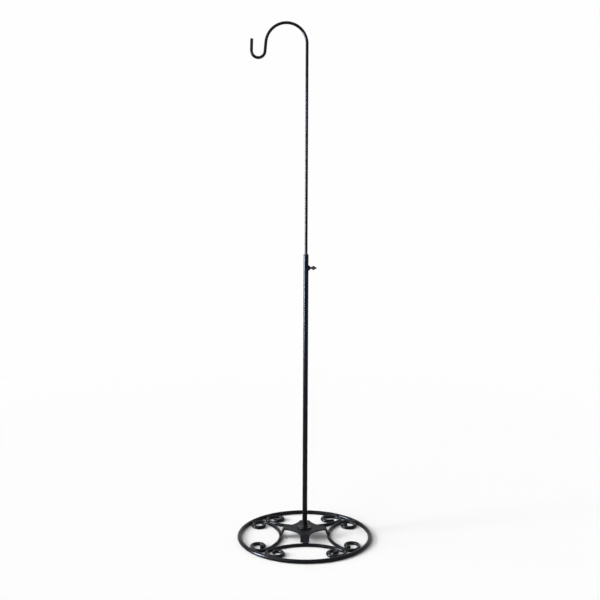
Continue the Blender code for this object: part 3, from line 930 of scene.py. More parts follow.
@dataclass(frozen=True)
class RingBase:
    """Hoop of round bar on the floor, welded into one at its back and ground down there."""

    span: Span = measured("base_ring")
    bar: float = 0.0095
    wobble: float = 0.00022
    weld_at: float = math.radians(96)
    weld_spread: float = math.radians(1.1)
    weld_rise: float = 0.00035
    ground_share: float = 0.3
    rings: int = 640
    sides: int = 36

    @property
    def centre_radius(self) -> float:
        """Radius of the bar's centreline."""
        return self.span.reach - self.bar / 2

    @property
    def half_height(self) -> float:
        """Half the height of the bar's section."""
        return self.span.top / 2

    def skin(self) -> Skin:
        """Round bar bent to a hoop.

        With a round the hoop and t round the bar, a point is at radius R + w cos t and height
        h + h sin t. R gives way inwards by a slow wobble of three and seven waves. At the
        weld, by a bell curve in a, w swells on the inner side and the top is ground lower.

        Returns:
            The hoop's surface.
        """
        around = bearings(self.rings).T
        section = bearings(self.sides)
        wobble = self.wobble * (0.5 + 0.3 * np.sin(3 * around + 0.7) + 0.2 * np.sin(7 * around))
        swell = self.weld_rise * np.exp(-((around - self.weld_at) / self.weld_spread) ** 2)
        half_width = self.bar / 2 + swell * (np.cos(section) < 0)
        ground = self.ground_share * swell * (np.sin(section) > 0.6)
        radius = self.centre_radius - wobble + half_width * np.cos(section)
        height = self.half_height * (1 + np.sin(section)) - ground
        return turned(radius, around, height, Ends.JOINED)

    def build(self, workshop: Workshop) -> None:
        """Make the hoop."""
        workshop.place("base_ring", Body.STAND, Slot.BLACK_COAT, self.skin())


@dataclass(frozen=True)
class Curl:
    """How a scroll's end goes on after the outer turn of its eye.

    A straight run comes first, then a half turn and a last turn. The run and the two radii
    are shares of the eye's radius, and the last turn's sweep is a share of a half turn.
    """

    run_share: float
    curl_share: float
    tip_share: float
    sweep_share: float


@dataclass(frozen=True)
class ScrollSet:
    """Four C-scrolls of round bar, whose eyes lie against the ring and each other."""

    ring: RingBase
    plate: Span = measured("spider_plate")
    bar: float = SCROLL_BAR
    gap: float = CLEARANCE
    twist: float = math.radians(1.2)
    eye_radius: float = 0.0187
    ease: float = 0.0011
    curls: tuple[tuple[str, Curl, Curl], ...] = (
        ("scroll_right", Curl(0.28, 0.78, 0.28, 0.83), Curl(0.51, 0.77, 0.49, 0.53)),
        ("scroll_back", Curl(0.32, 0.67, 0.32, 0.72), Curl(0.47, 0.76, 1.07, 0.20)),
        ("scroll_left", Curl(0.46, 0.72, 0.40, 0.56), Curl(0.17, 0.70, 0.48, 0.28)),
        ("scroll_front", Curl(0.24, 0.81, 0.31, 1.18), Curl(0.16, 0.81, 0.30, 0.72)),
    )

    @property
    def height(self) -> float:
        """Height of the bar's centreline."""
        return self.bar / 2

    def eye_centre(self) -> np.ndarray:
        """Centre of an eye on +X: it touches the ring, and its twin on the next scroll.

        The eye lies the ring's touching distance inside it, and the two eyes beside a diagonal
        leave room there for both bars.

        Returns:
            The centre's x and y.
        """
        apart = self.ring.bar / 2 + self.bar / 2 + self.gap
        reach = math.sqrt(apart ** 2 - (self.ring.half_height - self.height) ** 2)
        distance = self.ring.centre_radius - reach - self.eye_radius
        difference = (self.bar + self.gap) / math.sqrt(2) + self.eye_radius * math.sqrt(2)
        total = math.sqrt(2 * distance ** 2 - difference ** 2)
        return np.array([total + difference, total - difference]) / 2

    def half(self, curl: Curl) -> np.ndarray:
        """Centreline from the middle of the scroll on +X to the tip of one eye.

        A long arc runs on into the outer turn of the eye; then comes the curl.

        Args:
            curl: how this end is bent.

        Returns:
            Points in the plane.
        """
        eye = self.eye_centre()
        middle = self.plate.reach
        ahead = eye[0] - middle
        radius = (ahead ** 2 + eye[1] ** 2 - self.eye_radius ** 2) / (2 * (ahead - self.eye_radius))
        lean = math.asin(eye[1] / (radius - self.eye_radius))
        line = Bends((middle, 0.0), QUARTER)
        line.turn(radius, lean).turn(self.eye_radius, math.pi - lean)
        line.run(curl.run_share * self.eye_radius)
        line.turn(curl.curl_share * self.eye_radius, math.pi)
        line.turn(curl.tip_share * self.eye_radius, curl.sweep_share * math.pi)
        return line.points()

    def skin(self, left: Curl, right: Curl, quarters: int) -> Skin:
        """One scroll, a number of quarter turns round from +X.

        Args:
            left: end on the left, seen from the ring's centre.
            right: end on the right.
            quarters: how far round the ring the scroll stands.

        Returns:
            The scroll's surface.
        """
        flat = np.vstack([(self.half(right) * (1.0, -1.0))[:0:-1], self.half(left)])
        angle = quarters * QUARTER + self.twist
        turn = np.array([[math.cos(angle), math.sin(angle)], [-math.sin(angle), math.cos(angle)]])
        line = np.column_stack([flat @ turn, np.full(len(flat), self.height)])
        stock = BarStock(self.bar / 2, self.ease, seed=11 + quarters)
        return stock.formed(Route(line, Z_AXIS))

    def build(self, workshop: Workshop) -> None:
        """Make the four scrolls."""
        for quarters, (node, left, right) in enumerate(self.curls):
            workshop.place(node, Body.STAND, Slot.BLACK_COAT, self.skin(left, right, quarters))


@dataclass(frozen=True)
class SpiderPlate:
    """Four-armed sheet over the scrolls, with a leg bent down at the end of each arm."""

    span: Span = measured("spider_plate")
    thickness: float = 0.003
    arm_width: float = 0.020
    bend_inside: float = 0.003
    leg_drop: float = math.radians(64)
    bite_radius: float = 0.044
    bar: float = SCROLL_BAR
    gap: float = CLEARANCE
    hole_radius: float = STUD_RADIUS + CLEARANCE
    corner: float = 0.0012
    edge_ease: float = 0.0005
    bend_shares: tuple[float, float] = (0.6, 0.8)
    dimples: Lumps = Lumps(0.0046, 0.00006, 23)

    @property
    def bend_radius(self) -> float:
        """Radius of the bend at the middle of the sheet."""
        return self.bend_inside + self.thickness / 2

    def layout(self) -> tuple[float, float, float]:
        """Where the bend starts, how long it is and how long the leg is, on the flat sheet.

        The leg falls to the top of the scroll bar, and its outer corner stands over the bar.

        Returns:
            Start of the bend, length of the bend and length of the leg.
        """
        sine, cosine = math.sin(self.leg_drop), math.cos(self.leg_drop)
        half, middle = self.thickness / 2, self.bend_radius
        fall = self.span.top - half - middle * (1 - cosine) - (self.bar + self.gap + half * cosine)
        leg = fall / sine
        out = (middle + half) * sine + leg * cosine
        return self.span.reach - out, middle * self.leg_drop, leg

    def outline(self) -> np.ndarray:
        """Edge of the flat sheet: four arms, with a round bite between each two.

        Returns:
            Points in the plane, anticlockwise.
        """
        half, end = self.arm_width / 2, sum(self.layout())
        straight = end - half - self.bite_radius - self.corner
        line = Bends((end, 0.0), QUARTER, pace=0.0010)
        for _ in range(4):
            line.run(half - self.corner).turn(self.corner, -QUARTER)
            line.run(straight).turn(self.bite_radius, QUARTER)
            line.run(straight).turn(self.corner, -QUARTER)
            line.run(half - self.corner)
        return line.points()[:-1]

    def folded(self, flat: np.ndarray) -> np.ndarray:
        """Bend the four legs of the flat sheet down.

        A point lies some way out along its arm and some offset above the sheet's middle. It
        stays in place up to the bend, goes round the bend's axis in it, and runs down the leg
        after it.

        Args:
            flat: points as x, y and offset.

        Returns:
            Points in the frame.
        """
        start, bend_length, _ = self.layout()
        beside = np.abs(flat[..., 0]) < np.abs(flat[..., 1])
        along = np.where(beside, np.abs(flat[..., 1]), np.abs(flat[..., 0]))
        angle = np.clip(along - start, 0.0, bend_length) / self.bend_radius
        rest = np.clip(along - start - bend_length, 0.0, None)
        lever = self.bend_radius + flat[..., 2]
        out = np.minimum(along, start) + lever * np.sin(angle) + rest * np.cos(angle)
        base = self.span.top - self.thickness / 2 - self.bend_radius
        height = base + lever * np.cos(angle) - rest * np.sin(angle)
        x = np.where(beside, flat[..., 0], np.copysign(out, flat[..., 0]))
        y = np.where(beside, np.copysign(out, flat[..., 1]), flat[..., 1])
        return np.stack([x, y, height], -1)

    def skin(self) -> Skin:
        """Sheet with eased edges.

        Straight lines run from the round hole to the outline, set in by the ease, and their
        points stand closer over the bend. At the hole and at the outline the rings follow a
        quarter circle of insets e (1 - sin t) and drops e (1 - cos t). The same rings run back
        along the underside. Both faces are lowered by shallow dimples.

        Returns:
            The plate's surface.
        """
        edge = self.outline()
        heading = np.roll(edge, -1, axis=0) - np.roll(edge, 1, axis=0)
        heading /= np.linalg.norm(heading, axis=1, keepdims=True)
        away = np.stack([heading[:, 1], -heading[:, 0]], -1)
        bearing = np.arctan2(edge[:, 1], edge[:, 0])
        spoke = np.stack([np.cos(bearing), np.sin(bearing)], -1)
        ease, half = self.edge_ease, self.thickness / 2
        near, far = self.bend_shares
        shares = np.concatenate([np.linspace(0.0, near, 19), np.linspace(near, far, 20)[1:],
                                 np.linspace(far, 1.0, 15)[1:]])[:, None, None]
        hub = (self.hole_radius + 1.2 * ease) * spoke
        face = hub + (edge - 1.6 * ease * away - hub) * shares
        bow = np.linspace(0.0, QUARTER, 5)
        inset = (ease * (1 - np.sin(bow)))[:, None, None]
        rise = half - ease * (1 - np.cos(bow))
        round_edge = edge - inset * away
        hole_edge = (self.hole_radius + inset) * spoke
        rows = np.concatenate([hole_edge[::-1], face, round_edge])
        lift = np.concatenate([rise[::-1], np.full(len(face), half), rise])[:, None, None]
        upper = np.concatenate([rows, np.broadcast_to(lift, (*rows.shape[:2], 1))], -1)
        flat = np.concatenate([upper, upper[::-1] * (1.0, 1.0, -1.0)])
        made = self.folded(flat)
        on_face = np.abs(flat[..., 2]) > half - 0.3 * ease
        dimples = np.where(on_face, np.abs(self.dimples.at(made)), 0.0)
        made[..., 2] -= dimples * np.sign(flat[..., 2])
        return Skin.over(made, Ends.JOINED)

    def build(self, workshop: Workshop) -> None:
        """Make the plate."""
        workshop.place("spider_plate", Body.STAND, Slot.GRAINED_COAT, self.skin())


@dataclass(frozen=True)
class PoleFoot:
    """Flange on the plate, the stud through both, and what holds the stud underneath."""

    flange: Span = measured("pole_flange")
    stud: Span = measured("pole_stud")
    washer: Span = measured("clamp_washer")
    lock: Span = measured("lock_washer")
    nut: Span = measured("clamp_nut")
    tube: Span = measured("lower_tube")
    gap: float = CLEARANCE
    stud_radius: float = STUD_RADIUS
    flange_thickness: float = 0.0025
    hub_wall: float = 0.00155
    chamfer: float = 0.0008
    pitch: float = 0.00125
    thread_depth: float = 0.00062
    lock_split: float = math.radians(14)
    lock_rise_share: float = 0.08
    nut_wall: float = 0.0022
    nut_chamfer_slope: float = 2.0
    ease: float = 0.0003
    sides: int = 96
    stud_sides: int = 64
    nut_sides: int = 180

    @property
    def hole(self) -> float:
        """Radius of the hole that the stud passes through."""
        return self.stud_radius + self.gap

    def flange_skin(self) -> Skin:
        """Round flange with a low hub, and a bevelled fillet where they meet.

        Returns:
            The flange's surface.
        """
        foot, top = self.flange.foot, self.flange.top
        deck = foot + self.flange_thickness
        socket = self.tube.reach + self.gap
        hub = socket + self.hub_wall
        rim = self.flange.reach
        profile = eased([(self.hole, foot), (rim, foot), (rim, deck - self.chamfer),
                         (rim - self.chamfer, deck), (hub + self.chamfer, deck),
                         (hub, deck + self.chamfer), (hub, top - self.chamfer),
                         (hub - self.chamfer, top), (socket, top), (socket, deck),
                         (self.hole, deck)], self.ease)
        return spun(profile, self.sides)

    def stud_skin(self) -> Skin:
        """Stud: a thread below, and a plain plug in the tube above.

        Below the tube's foot the radius is the stud's less the thread's depth; near its lower
        end a cone runs over the thread.

        Returns:
            The stud's surface.
        """
        foot, top, shoulder = self.stud.foot, self.stud.top, self.tube.foot
        plug, root = self.stud.reach, self.stud_radius - self.thread_depth
        height = np.linspace(foot, shoulder - self.gap, 260)[:, None]
        angle = bearings(self.stud_sides)
        crest = self.stud_radius - threaded(height, angle, self.pitch, self.thread_depth)
        cone = self.stud_radius - self.chamfer + (height - foot)
        profile = eased([(root, shoulder - self.gap), (root, shoulder), (plug, shoulder),
                         (plug, top - self.chamfer), (plug - self.chamfer, top), (plug / 2, top)],
                        self.ease, closed=False)
        radius = np.vstack([np.minimum(crest, cone),
                            np.repeat(profile[:, :1], self.stud_sides, axis=1)])
        return turned(radius, angle, np.vstack([height, profile[:, 1:]]), Ends.CAPPED)

    def washer_skin(self) -> Skin:
        """Flat washer with eased edges."""
        low, high, rim = self.washer.foot, self.washer.top, self.washer.reach
        return spun(eased([(self.hole, low), (rim, low), (rim, high), (self.hole, high)],
                          self.ease), self.sides)

    def lock_skin(self) -> Skin:
        """Split spring washer.

        An eased oblong section goes round all but the split, and climbs a little on the way.

        Returns:
            The washer's surface.
        """
        low, high, rim = self.lock.foot, self.lock.top, self.lock.reach
        rise = self.lock_rise_share * (high - low)
        section = eased([(self.hole, low), (rim, low), (rim, high - rise),
                         (self.hole, high - rise)], self.ease)
        angle = np.linspace(0.0, math.tau - self.lock_split, 90)[:, None]
        climb = rise * angle / angle[-1]
        return turned(section[None, :, 0], angle, section[None, :, 1] + climb, Ends.CAPPED)

    def nut_skin(self) -> Skin:
        """Hexagon nut: flats, chamfered corners and a threaded bore.

        At angle a the hexagon's radius is flat / cos(a'), with a' the angle from the nearest
        flat's middle; a cone at both faces cuts the corners off.

        Returns:
            The nut's surface.
        """
        low, high, flat = self.nut.foot, self.nut.top, self.hole + self.nut_wall
        angle = bearings(self.nut_sides)
        hexagon = flat / np.cos(angle % (math.pi / 3) - math.pi / 6)
        ramp = np.concatenate([np.linspace(0.0, 0.35, 12), np.linspace(0.4, 0.6, 3),
                               np.linspace(0.65, 1.0, 12)])[:, None]
        height = low + (high - low) * ramp
        cone = flat + self.nut_chamfer_slope * np.minimum(height - low, high - height)
        side = np.minimum(hexagon, cone)
        bore_height = np.linspace(high, low, 120)[:, None]
        groove = threaded(bore_height, angle, self.pitch, self.thread_depth)
        bore = self.hole + 0.25 * self.thread_depth - 0.5 * groove
        inwards = np.array([0.97, 0.5, 0.05])[:, None]
        outwards = inwards[::-1]
        upper = side[-1:] * inwards + bore[:1] * (1 - inwards)
        under = side[:1] * outwards + bore[-1:] * (1 - outwards)
        radius = np.vstack([side, upper, bore, under])
        level = np.vstack([height, np.full((3, 1), high), bore_height, np.full((3, 1), low)])
        return turned(radius, angle, level, Ends.JOINED)

    def build(self, workshop: Workshop) -> None:
        """Make the flange, stud, washers and nut.

        Args:
            workshop: places the finished pieces.
        """
        workshop.place("pole_flange", Body.STAND, Slot.BLACK_COAT, self.flange_skin())
        workshop.place("pole_stud", Body.STAND, Slot.ZINC, self.stud_skin())
        workshop.place("clamp_washer", Body.STAND, Slot.ZINC, self.washer_skin())
        workshop.place("lock_washer", Body.STAND, Slot.ZINC, self.lock_skin())
        workshop.place("clamp_nut", Body.STAND, Slot.ZINC, self.nut_skin())


@dataclass(frozen=True)
class LowerTube:
    """Lower tube of the pole, drilled for the wing screw, with a bush in its mouth."""

    span: Span = measured("lower_tube")
    bush: Span = measured("top_bush")
    boss: Span = measured("screw_boss")
    wall: float = 0.0010
    gap: float = CLEARANCE
    hole_radius: float = SCREW_HOLE
    rod_hole: float = ROD_RADIUS + CLEARANCE
    lip: float = 0.0008
    ease: float = 0.00028
    sides: int = 96
    drill_sides: int = 48

    def tube_skin(self) -> Skin:
        """Straight tube with eased ends.

        Returns:
            The tube's surface, not yet drilled.
        """
        outer, bore = self.span.reach, self.span.reach - self.wall
        profile = eased([(bore, self.span.foot), (outer, self.span.foot),
                         (outer, self.span.top), (bore, self.span.top)], self.ease)
        return spun(profile, self.sides)

    def drilled(self) -> bpy.types.Object:
        """Cut the wing screw's hole through the tube's side on +X.

        Returns:
            The drilled tube.
        """
        tube = self.tube_skin().shown("drilled_tube")
        profile = np.array([(self.hole_radius, 0.0), (self.hole_radius, 2 * self.span.reach)])
        drill = spun(profile, self.drill_sides, Ends.CAPPED)
        drill = drill.mapped(ALONG_X, Z_AXIS * self.boss.middle[2])
        fuse(tube, drill.shown("drill"), Join.CUT)
        return tube

    def bush_skin(self) -> Skin:
        """Bush whose lip rests on the tube's mouth, with a flared way in for the rod.

        Returns:
            The bush's surface.
        """
        bore, lip = self.rod_hole, self.bush.reach
        sleeve = self.span.reach - self.wall - self.gap
        deck, top = self.bush.top - self.lip, self.bush.top
        profile = eased([(bore, self.bush.foot), (sleeve, self.bush.foot), (sleeve, deck),
                         (lip, deck), (lip, top - self.ease), (lip - self.ease, top),
                         (bore + 1.5 * self.ease, top), (bore, top - 1.5 * self.ease)],
                        self.ease / 2)
        return spun(profile, self.sides)

    def build(self, workshop: Workshop) -> None:
        """Make the tube and its bush."""
        workshop.place("lower_tube", Body.STAND, Slot.BLACK_COAT, self.drilled())
        workshop.place("top_bush", Body.STAND, Slot.NYLON, self.bush_skin())


@dataclass(frozen=True)
class ScrewClamp:
    """Threaded boss, saddled on the tube and welded round, and the cast wing screw in it."""

    boss: Span = measured("screw_boss")
    screw: Span = measured("thumb_screw")
    tube: Span = measured("lower_tube")
    gap: float = CLEARANCE
    hole_radius: float = SCREW_HOLE
    face_wall: float = 0.00155
    taper: float = 0.0023
    boss_ease: float = 0.0004
    boss_sides: int = 96
    fillet: float = 0.0007
    thread_inset: float = 0.0010
    thread_rise: float = 0.0002
    screw_radius: float = 0.0024
    pitch: float = 0.0008
    thread_depth: float = 0.00032
    tip_chamfer: float = 0.0007
    shank_sides: int = 56
    neck_shown: float = 0.0035
    cone: float = 0.0023
    rim: float = 0.0021
    nose_radius: float = 0.0026
    nose_length: float = 0.0030
    core_radius: float = 0.0004
    hub_ease: float = 0.0006
    hub_sides: int = 64
    wing_thickness: float = 0.0028
    lobe_radius: float = 0.0041
    lobe_from: float = math.radians(-95)
    lobe_to: float = math.radians(150)
    lobe_ahead: float = 0.0041
    valley_ahead: float = 0.0045
    root_inset: float = 0.0005
    dish: float = 0.00045
    dish_share: float = 0.55
    wing_points: int = 160
    cast_voxel: float = 0.00022
    softening: float = 0.5
    softening_rounds: int = 6

    @property
    def axis_height(self) -> float:
        """Height of the screw's axis."""
        return float(self.boss.middle[2])

    @property
    def hub_start(self) -> float:
        """Where the wing screw's cone reaches its hub, from the pole's axis."""
        return self.boss.reach + self.neck_shown + self.cone

    def laid(self, skin: Skin) -> Skin:
        """Turn a surface from the Z axis to the screw's own, along +X."""
        return skin.mapped(ALONG_X, Z_AXIS * self.axis_height)

    def boss_skin(self) -> Skin:
        """Boss with a saddle for the tube and a lumpy weld fillet at its foot.

        At angle a and radius r round the screw's axis, the saddle starts where the tube's
        side is: sqrt(tube^2 - (r cos a)^2), and never before the boss's own start. The wall
        goes straight, but for the fillet, which swells by (1 - s)^2 sin(2 pi s) up to a
        quarter of its height s and by (1 - s)^2 after that, times a ripple of a. Then it
        narrows to the face, and the threaded bore comes back.

        Returns:
            The boss's surface.
        """
        angle = bearings(self.boss_sides)
        base = (self.boss.high[2] - self.boss.low[2]) / 2
        seat, start = self.tube.reach + self.gap, self.boss.low[0]
        face, bore = self.boss.reach, self.hole_radius
        shoulder, side = face - self.taper, base - 0.6 * self.fillet
        thread_top = face - self.thread_inset

        def saddle(radius: np.ndarray | float) -> np.ndarray:
            """Distance of the tube's side from the pole's axis, under the boss."""
            return np.sqrt(np.clip(seat ** 2 - (radius * np.cos(angle)) ** 2, start ** 2, None))

        full_row = np.ones_like(angle)
        share = np.linspace(0.0, 1.0, 5)[:, None]
        foot_radius = (bore + (base - bore) * share) * full_row
        share = np.linspace(0.1, 1.0, 6)[:, None]
        ripple = 1.0 + 0.35 * np.sin(17 * angle) * np.cos(3 * angle)
        swell = ripple * (1 - share) ** 2 * np.sin(QUARTER * np.minimum(1.0, 4 * share))
        wall_radius = side + 0.9 * self.fillet * swell
        wall_height = saddle(base) + (shoulder - saddle(base)) * share
        nose = eased([(side, shoulder - self.boss_ease), (side, shoulder),
                      (bore + self.face_wall, face), (bore + self.boss_ease, face),
                      (bore, face - self.boss_ease), (bore, thread_top)],
                     self.boss_ease, closed=False)[1:]
        share = np.linspace(0.0, 0.9, 40)[:, None]
        bore_height = thread_top * (1 - share) + saddle(bore) * share
        groove = threaded(bore_height, angle, self.pitch, self.thread_depth)
        bore_radius = bore - self.thread_rise + 0.6 * groove
        radius = np.vstack([foot_radius, wall_radius, nose[:, :1] * full_row, bore_radius])
        height = np.vstack([saddle(foot_radius), wall_height, nose[:, 1:] * full_row,
                            bore_height])
        return self.laid(turned(radius, angle, height, Ends.JOINED))

    def shank_skin(self) -> Skin:
        """Threaded shank, from its blunt tip on the rod to inside the head.

        The radius is the screw's less the thread's depth, under a cone at the tip; the thread
        fades out before the head.

        Returns:
            The shank's surface.
        """
        tip, end = self.screw.low[0], self.hub_start
        height = np.linspace(tip, end, 240)[:, None]
        angle = bearings(self.shank_sides)
        fade = np.clip((end - self.cone - height) / (1.5 * self.pitch), 0.0, 1.0)
        crest = self.screw_radius - fade * threaded(height, angle, self.pitch, self.thread_depth)
        blunt = self.screw_radius - self.tip_chamfer + (height - tip)
        return self.laid(turned(np.minimum(crest, blunt), angle, height, Ends.CAPPED))

    def hub_skin(self) -> Skin:
        """Turned hub of the head: cone, rim and nose.

        Returns:
            The hub's surface.
        """
        hub = (self.screw.high[2] - self.screw.low[2]) / 2
        start, neck, core = self.hub_start, self.hub_start - self.cone, self.core_radius
        wing_root = self.screw.reach - self.lobe_radius - self.lobe_ahead
        nose = wing_root + self.rim + self.nose_length
        profile = eased([(core, neck), (self.screw_radius, neck), (hub, start),
                         (hub, start + self.rim), (self.nose_radius, nose), (core, nose)],
                        self.hub_ease, closed=False)
        return self.laid(spun(profile, self.hub_sides, Ends.CAPPED))

    def wings_skin(self) -> Skin:
        """Two flat rounded wings, a little hollow in the middle of each.

        The outline is drawn round the hub's root, a lobe, the valley and the other lobe. Rings
        shrink towards its middle by a share s, and stand half the thickness times
        (1 - s^8)^(1/2) above and below, less a bell-shaped dish around each lobe's centre.

        Returns:
            The wings' surface.
        """
        out = self.screw.high[1] - self.lobe_radius
        ahead = self.hub_start + self.lobe_ahead
        sweep = np.linspace(self.lobe_from, self.lobe_to, 40)
        lobe = np.stack([out + self.lobe_radius * np.cos(sweep),
                         ahead + self.lobe_radius * np.sin(sweep)], -1)
        root = np.array([[0.0, self.hub_start - self.root_inset]])
        valley = np.array([[0.0, self.hub_start + self.valley_ahead]])
        corners = np.vstack([root, lobe, valley, lobe[::-1] * (-1.0, 1.0), root])
        marks = marks_along(corners)
        even = np.linspace(0.0, marks[-1], self.wing_points + 1)[:-1]
        edge = np.stack([np.interp(even, marks, corners[:, axis]) for axis in (0, 1)], -1)
        centre = np.array([0.0, (root[0, 1] + valley[0, 1]) / 2])
        share = np.concatenate([np.linspace(0.05, 0.8, 10),
                                1 - 0.2 * np.linspace(1, 0, 9)[1:] ** 2])
        flat = centre + (edge - centre) * share[:, None, None]
        rise = self.wing_thickness / 2 * np.sqrt(np.clip(1 - share ** 8, 0.0, None))[:, None]
        off_lobe = np.hypot(np.abs(flat[..., 0]) - out, flat[..., 1] - ahead)
        hollow = np.exp(-(off_lobe / (self.dish_share * self.lobe_radius)) ** 2)
        rise = rise - self.dish * hollow * (rise > self.dish)
        top = np.stack([flat[..., 1], flat[..., 0], rise], -1)
        rings = np.concatenate([top, top[::-1][1:] * (1.0, 1.0, -1.0)])
        return Skin.over(rings + Z_AXIS * self.axis_height, Ends.CAPPED)

    def head(self) -> bpy.types.Object:
        """Cast head: hub and wings flowed into one, with soft inner corners.

        Returns:
            The head, without its shank.
        """
        head = self.hub_skin().shown("cast_head")
        fuse(head, self.wings_skin().shown("wings"), Join.ADD)
        flow = head.modifiers.new("flow", "REMESH")
        flow.mode = "VOXEL"
        flow.voxel_size = self.cast_voxel
        soften = head.modifiers.new("soften", "SMOOTH")
        soften.factor = self.softening
        soften.iterations = self.softening_rounds
        settle(head)
        return head

    def build(self, workshop: Workshop) -> None:
        """Make the boss and the wing screw.

        Args:
            workshop: places the finished pieces.
        """
        workshop.place("screw_boss", Body.STAND, Slot.BLACK_COAT, self.boss_skin())
        screw = self.head()
        fuse(screw, self.shank_skin().shown("shank"), Join.ADD)
        workshop.place("thumb_screw", Body.SCREW, Slot.DARK_SCREW, screw)


@dataclass(frozen=True)
class HookRod:
    """Sliding rod, bent to an arch and a cup at its top, with the guide on its foot."""

    span: Span = measured("hook_rod")
    guide: Span = measured("rod_guide")
    radius: float = ROD_RADIUS
    gap: float = CLEARANCE
    arch_radius: float = 0.0435
    shank_lean: float = math.radians(5.5)
    cup_radius: float = 0.0143
    cup_drop: float = 0.0140
    tip_rise: float = 0.0248
    tip_lean: float = math.radians(1.5)
    ease: float = 0.0007
    ear_length: float = 0.0016
    ear_radius: float = 0.0039
    guide_ease: float = 0.0003
    guide_sides: int = 72
    rod_sides: int = 28
    pace: float = 0.0010
    unevenness: float = 0.00002

    @property
    def arch_height(self) -> float:
        """Height of the arch's centre."""
        return self.span.top - self.radius - self.arch_radius

    def route(self) -> Route:
        """Centreline from the rod's lower end to the tip of the cup.

        Returns:
            The line, bent towards -X.
        """
        rise = (self.arch_radius + self.cup_radius) * math.sin(self.shank_lean)
        line = Bends((0.0, self.span.foot), QUARTER)
        line.run(self.arch_height - self.span.foot)
        line.turn(self.arch_radius, math.pi - self.shank_lean)
        line.run((self.cup_drop + rise) / math.cos(self.shank_lean))
        line.turn(self.cup_radius, self.shank_lean - self.tip_lean - math.pi)
        flat = line.run(self.tip_rise).points()
        return Route(np.column_stack([-flat[:, 0], np.zeros(len(flat)), flat[:, 1]]), Y_AXIS)

    def ears(self, length: float) -> np.ndarray:
        """Wide and tall factors along the rod where it is pressed into ears round the guide.

        Around each ear's middle the rod swells by a smooth bell (1 - (d / h)^2)^2 of the
        distance d from it, with h three quarters of the ear's length, in full one way and by
        a third the other.

        Args:
            length: of the whole rod.

        Returns:
            Two factors for each pace along the rod.
        """
        stations = np.arange(math.ceil(length / self.pace) + 2) * self.pace + self.span.foot
        lower = self.guide.foot - self.gap - self.ear_length / 2
        upper = self.guide.top + self.gap + self.ear_length / 2
        swell = self.ear_radius / self.radius - 1.0
        off = (stations - np.array([[lower], [upper]])) / (0.75 * self.ear_length)
        bell = (np.clip(1 - off ** 2, 0.0, 1.0) ** 2).sum(0)
        return np.column_stack([1 + swell * bell, 1 + swell * bell / 3])

    def rod_skin(self) -> Skin:
        """Bend the rod from its stock.

        Returns:
            The rod's surface.
        """
        route = self.route()
        stock = BarStock(self.radius, self.ease, seed=5, pace=self.pace, sides=self.rod_sides,
                         unevenness=self.unevenness)
        return stock.formed(route, self.ears(route.length))

    def guide_skin(self) -> Skin:
        """Guide sleeve with eased ends.

        Returns:
            The guide's surface.
        """
        bore, outer = self.radius + self.gap, self.guide.reach
        profile = eased([(bore, self.guide.foot), (outer, self.guide.foot),
                         (outer, self.guide.top), (bore, self.guide.top)], self.guide_ease)
        return spun(profile, self.guide_sides)

    def build(self, workshop: Workshop) -> None:
        """Make the rod and its guide."""
        workshop.place("hook_rod", Body.HOOK, Slot.BLACK_COAT, self.rod_skin())
        workshop.place("rod_guide", Body.GUIDE, Slot.NYLON, self.guide_skin())


@dataclass(frozen=True)
class WeldBeads:
    """Rippled beads that join the eyes to the ring, the scrolls to each other and the legs."""

    radius: float = 0.00165
    taper: float = 0.55
    height_share: float = 0.92
    ripple_pitch: float = 0.0012
    ripple: float = 0.10
    lean: float = 0.9
    lumps: Lumps = Lumps(0.0040, 0.00014, 41)
    bead_length: float = 0.010
    leg_bead_length: float = 0.014
    sides: int = 28
    rows: int = 90

    def skin(self, centre: np.ndarray, heading: np.ndarray, length: float) -> Skin:
        """One bead along a straight line.

        With s from -1 to 1 along the bead and t round it, the radius is R (1 - taper |s|^3),
        rounded off at the tips by sqrt(1 - |s|^14), times 1 + ripple cos(2 pi (length s / 2 +
        lean R sin t) / pitch), plus lumps: each ripple bows like the edge of a frozen pool.

        Args:
            centre: middle of the bead.
            heading: direction of the bead.
            length: of the bead.

        Returns:
            The bead's surface.
        """
        ahead = heading / np.linalg.norm(heading)
        line = np.linspace(-0.5, 0.5, 41)[:, None] * length * ahead + centre
        share = np.sin(np.linspace(-QUARTER, QUARTER, self.rows))[:, None]
        body = self.radius * (1 - self.taper * np.abs(share) ** 3)
        along = share * length / 2 + self.lean * self.radius * np.sin(bearings(self.sides))
        ripple = 1 + self.ripple * np.cos(math.tau * along / self.ripple_pitch)
        tip = np.sqrt(np.clip(1 - np.abs(share) ** 14, 0.02, None))
        radius = body * ripple * tip
        rings = Route(line, Z_AXIS).carry((share[:, 0] + 1) * length / 2, radius,
                                          self.height_share * radius, self.sides)
        away = rings - rings.mean(axis=1, keepdims=True)
        away /= np.linalg.norm(away, axis=-1, keepdims=True)
        return Skin.over(rings + away * self.lumps.at(rings)[..., None], Ends.CAPPED)

    def build(self, workshop: Workshop) -> None:
        """Make each bead where the frame has it.

        A bead at the ring or under a leg lies across the spoke through its middle, and one
        between two scrolls lies along it.

        Args:
            workshop: places the finished pieces.
        """
        for node in sorted(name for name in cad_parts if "_weld_" in name):
            middle = Span.of(node).middle
            spoke = np.array([middle[0], middle[1], 0.0])
            heading = spoke if node.startswith("scroll_weld") else np.cross(Z_AXIS, spoke)
            length = self.leg_bead_length if node.startswith("leg_weld") else self.bead_length
            workshop.place(node, Body.STAND, Slot.WELD_COAT, self.skin(middle, heading, length))


@dataclass(frozen=True)
class SoftLamp:
    """A lamp far off: its bearing and height as angles, how wide it looks and its strength."""

    name: str
    azimuth: float
    elevation: float
    angle: float
    strength: float


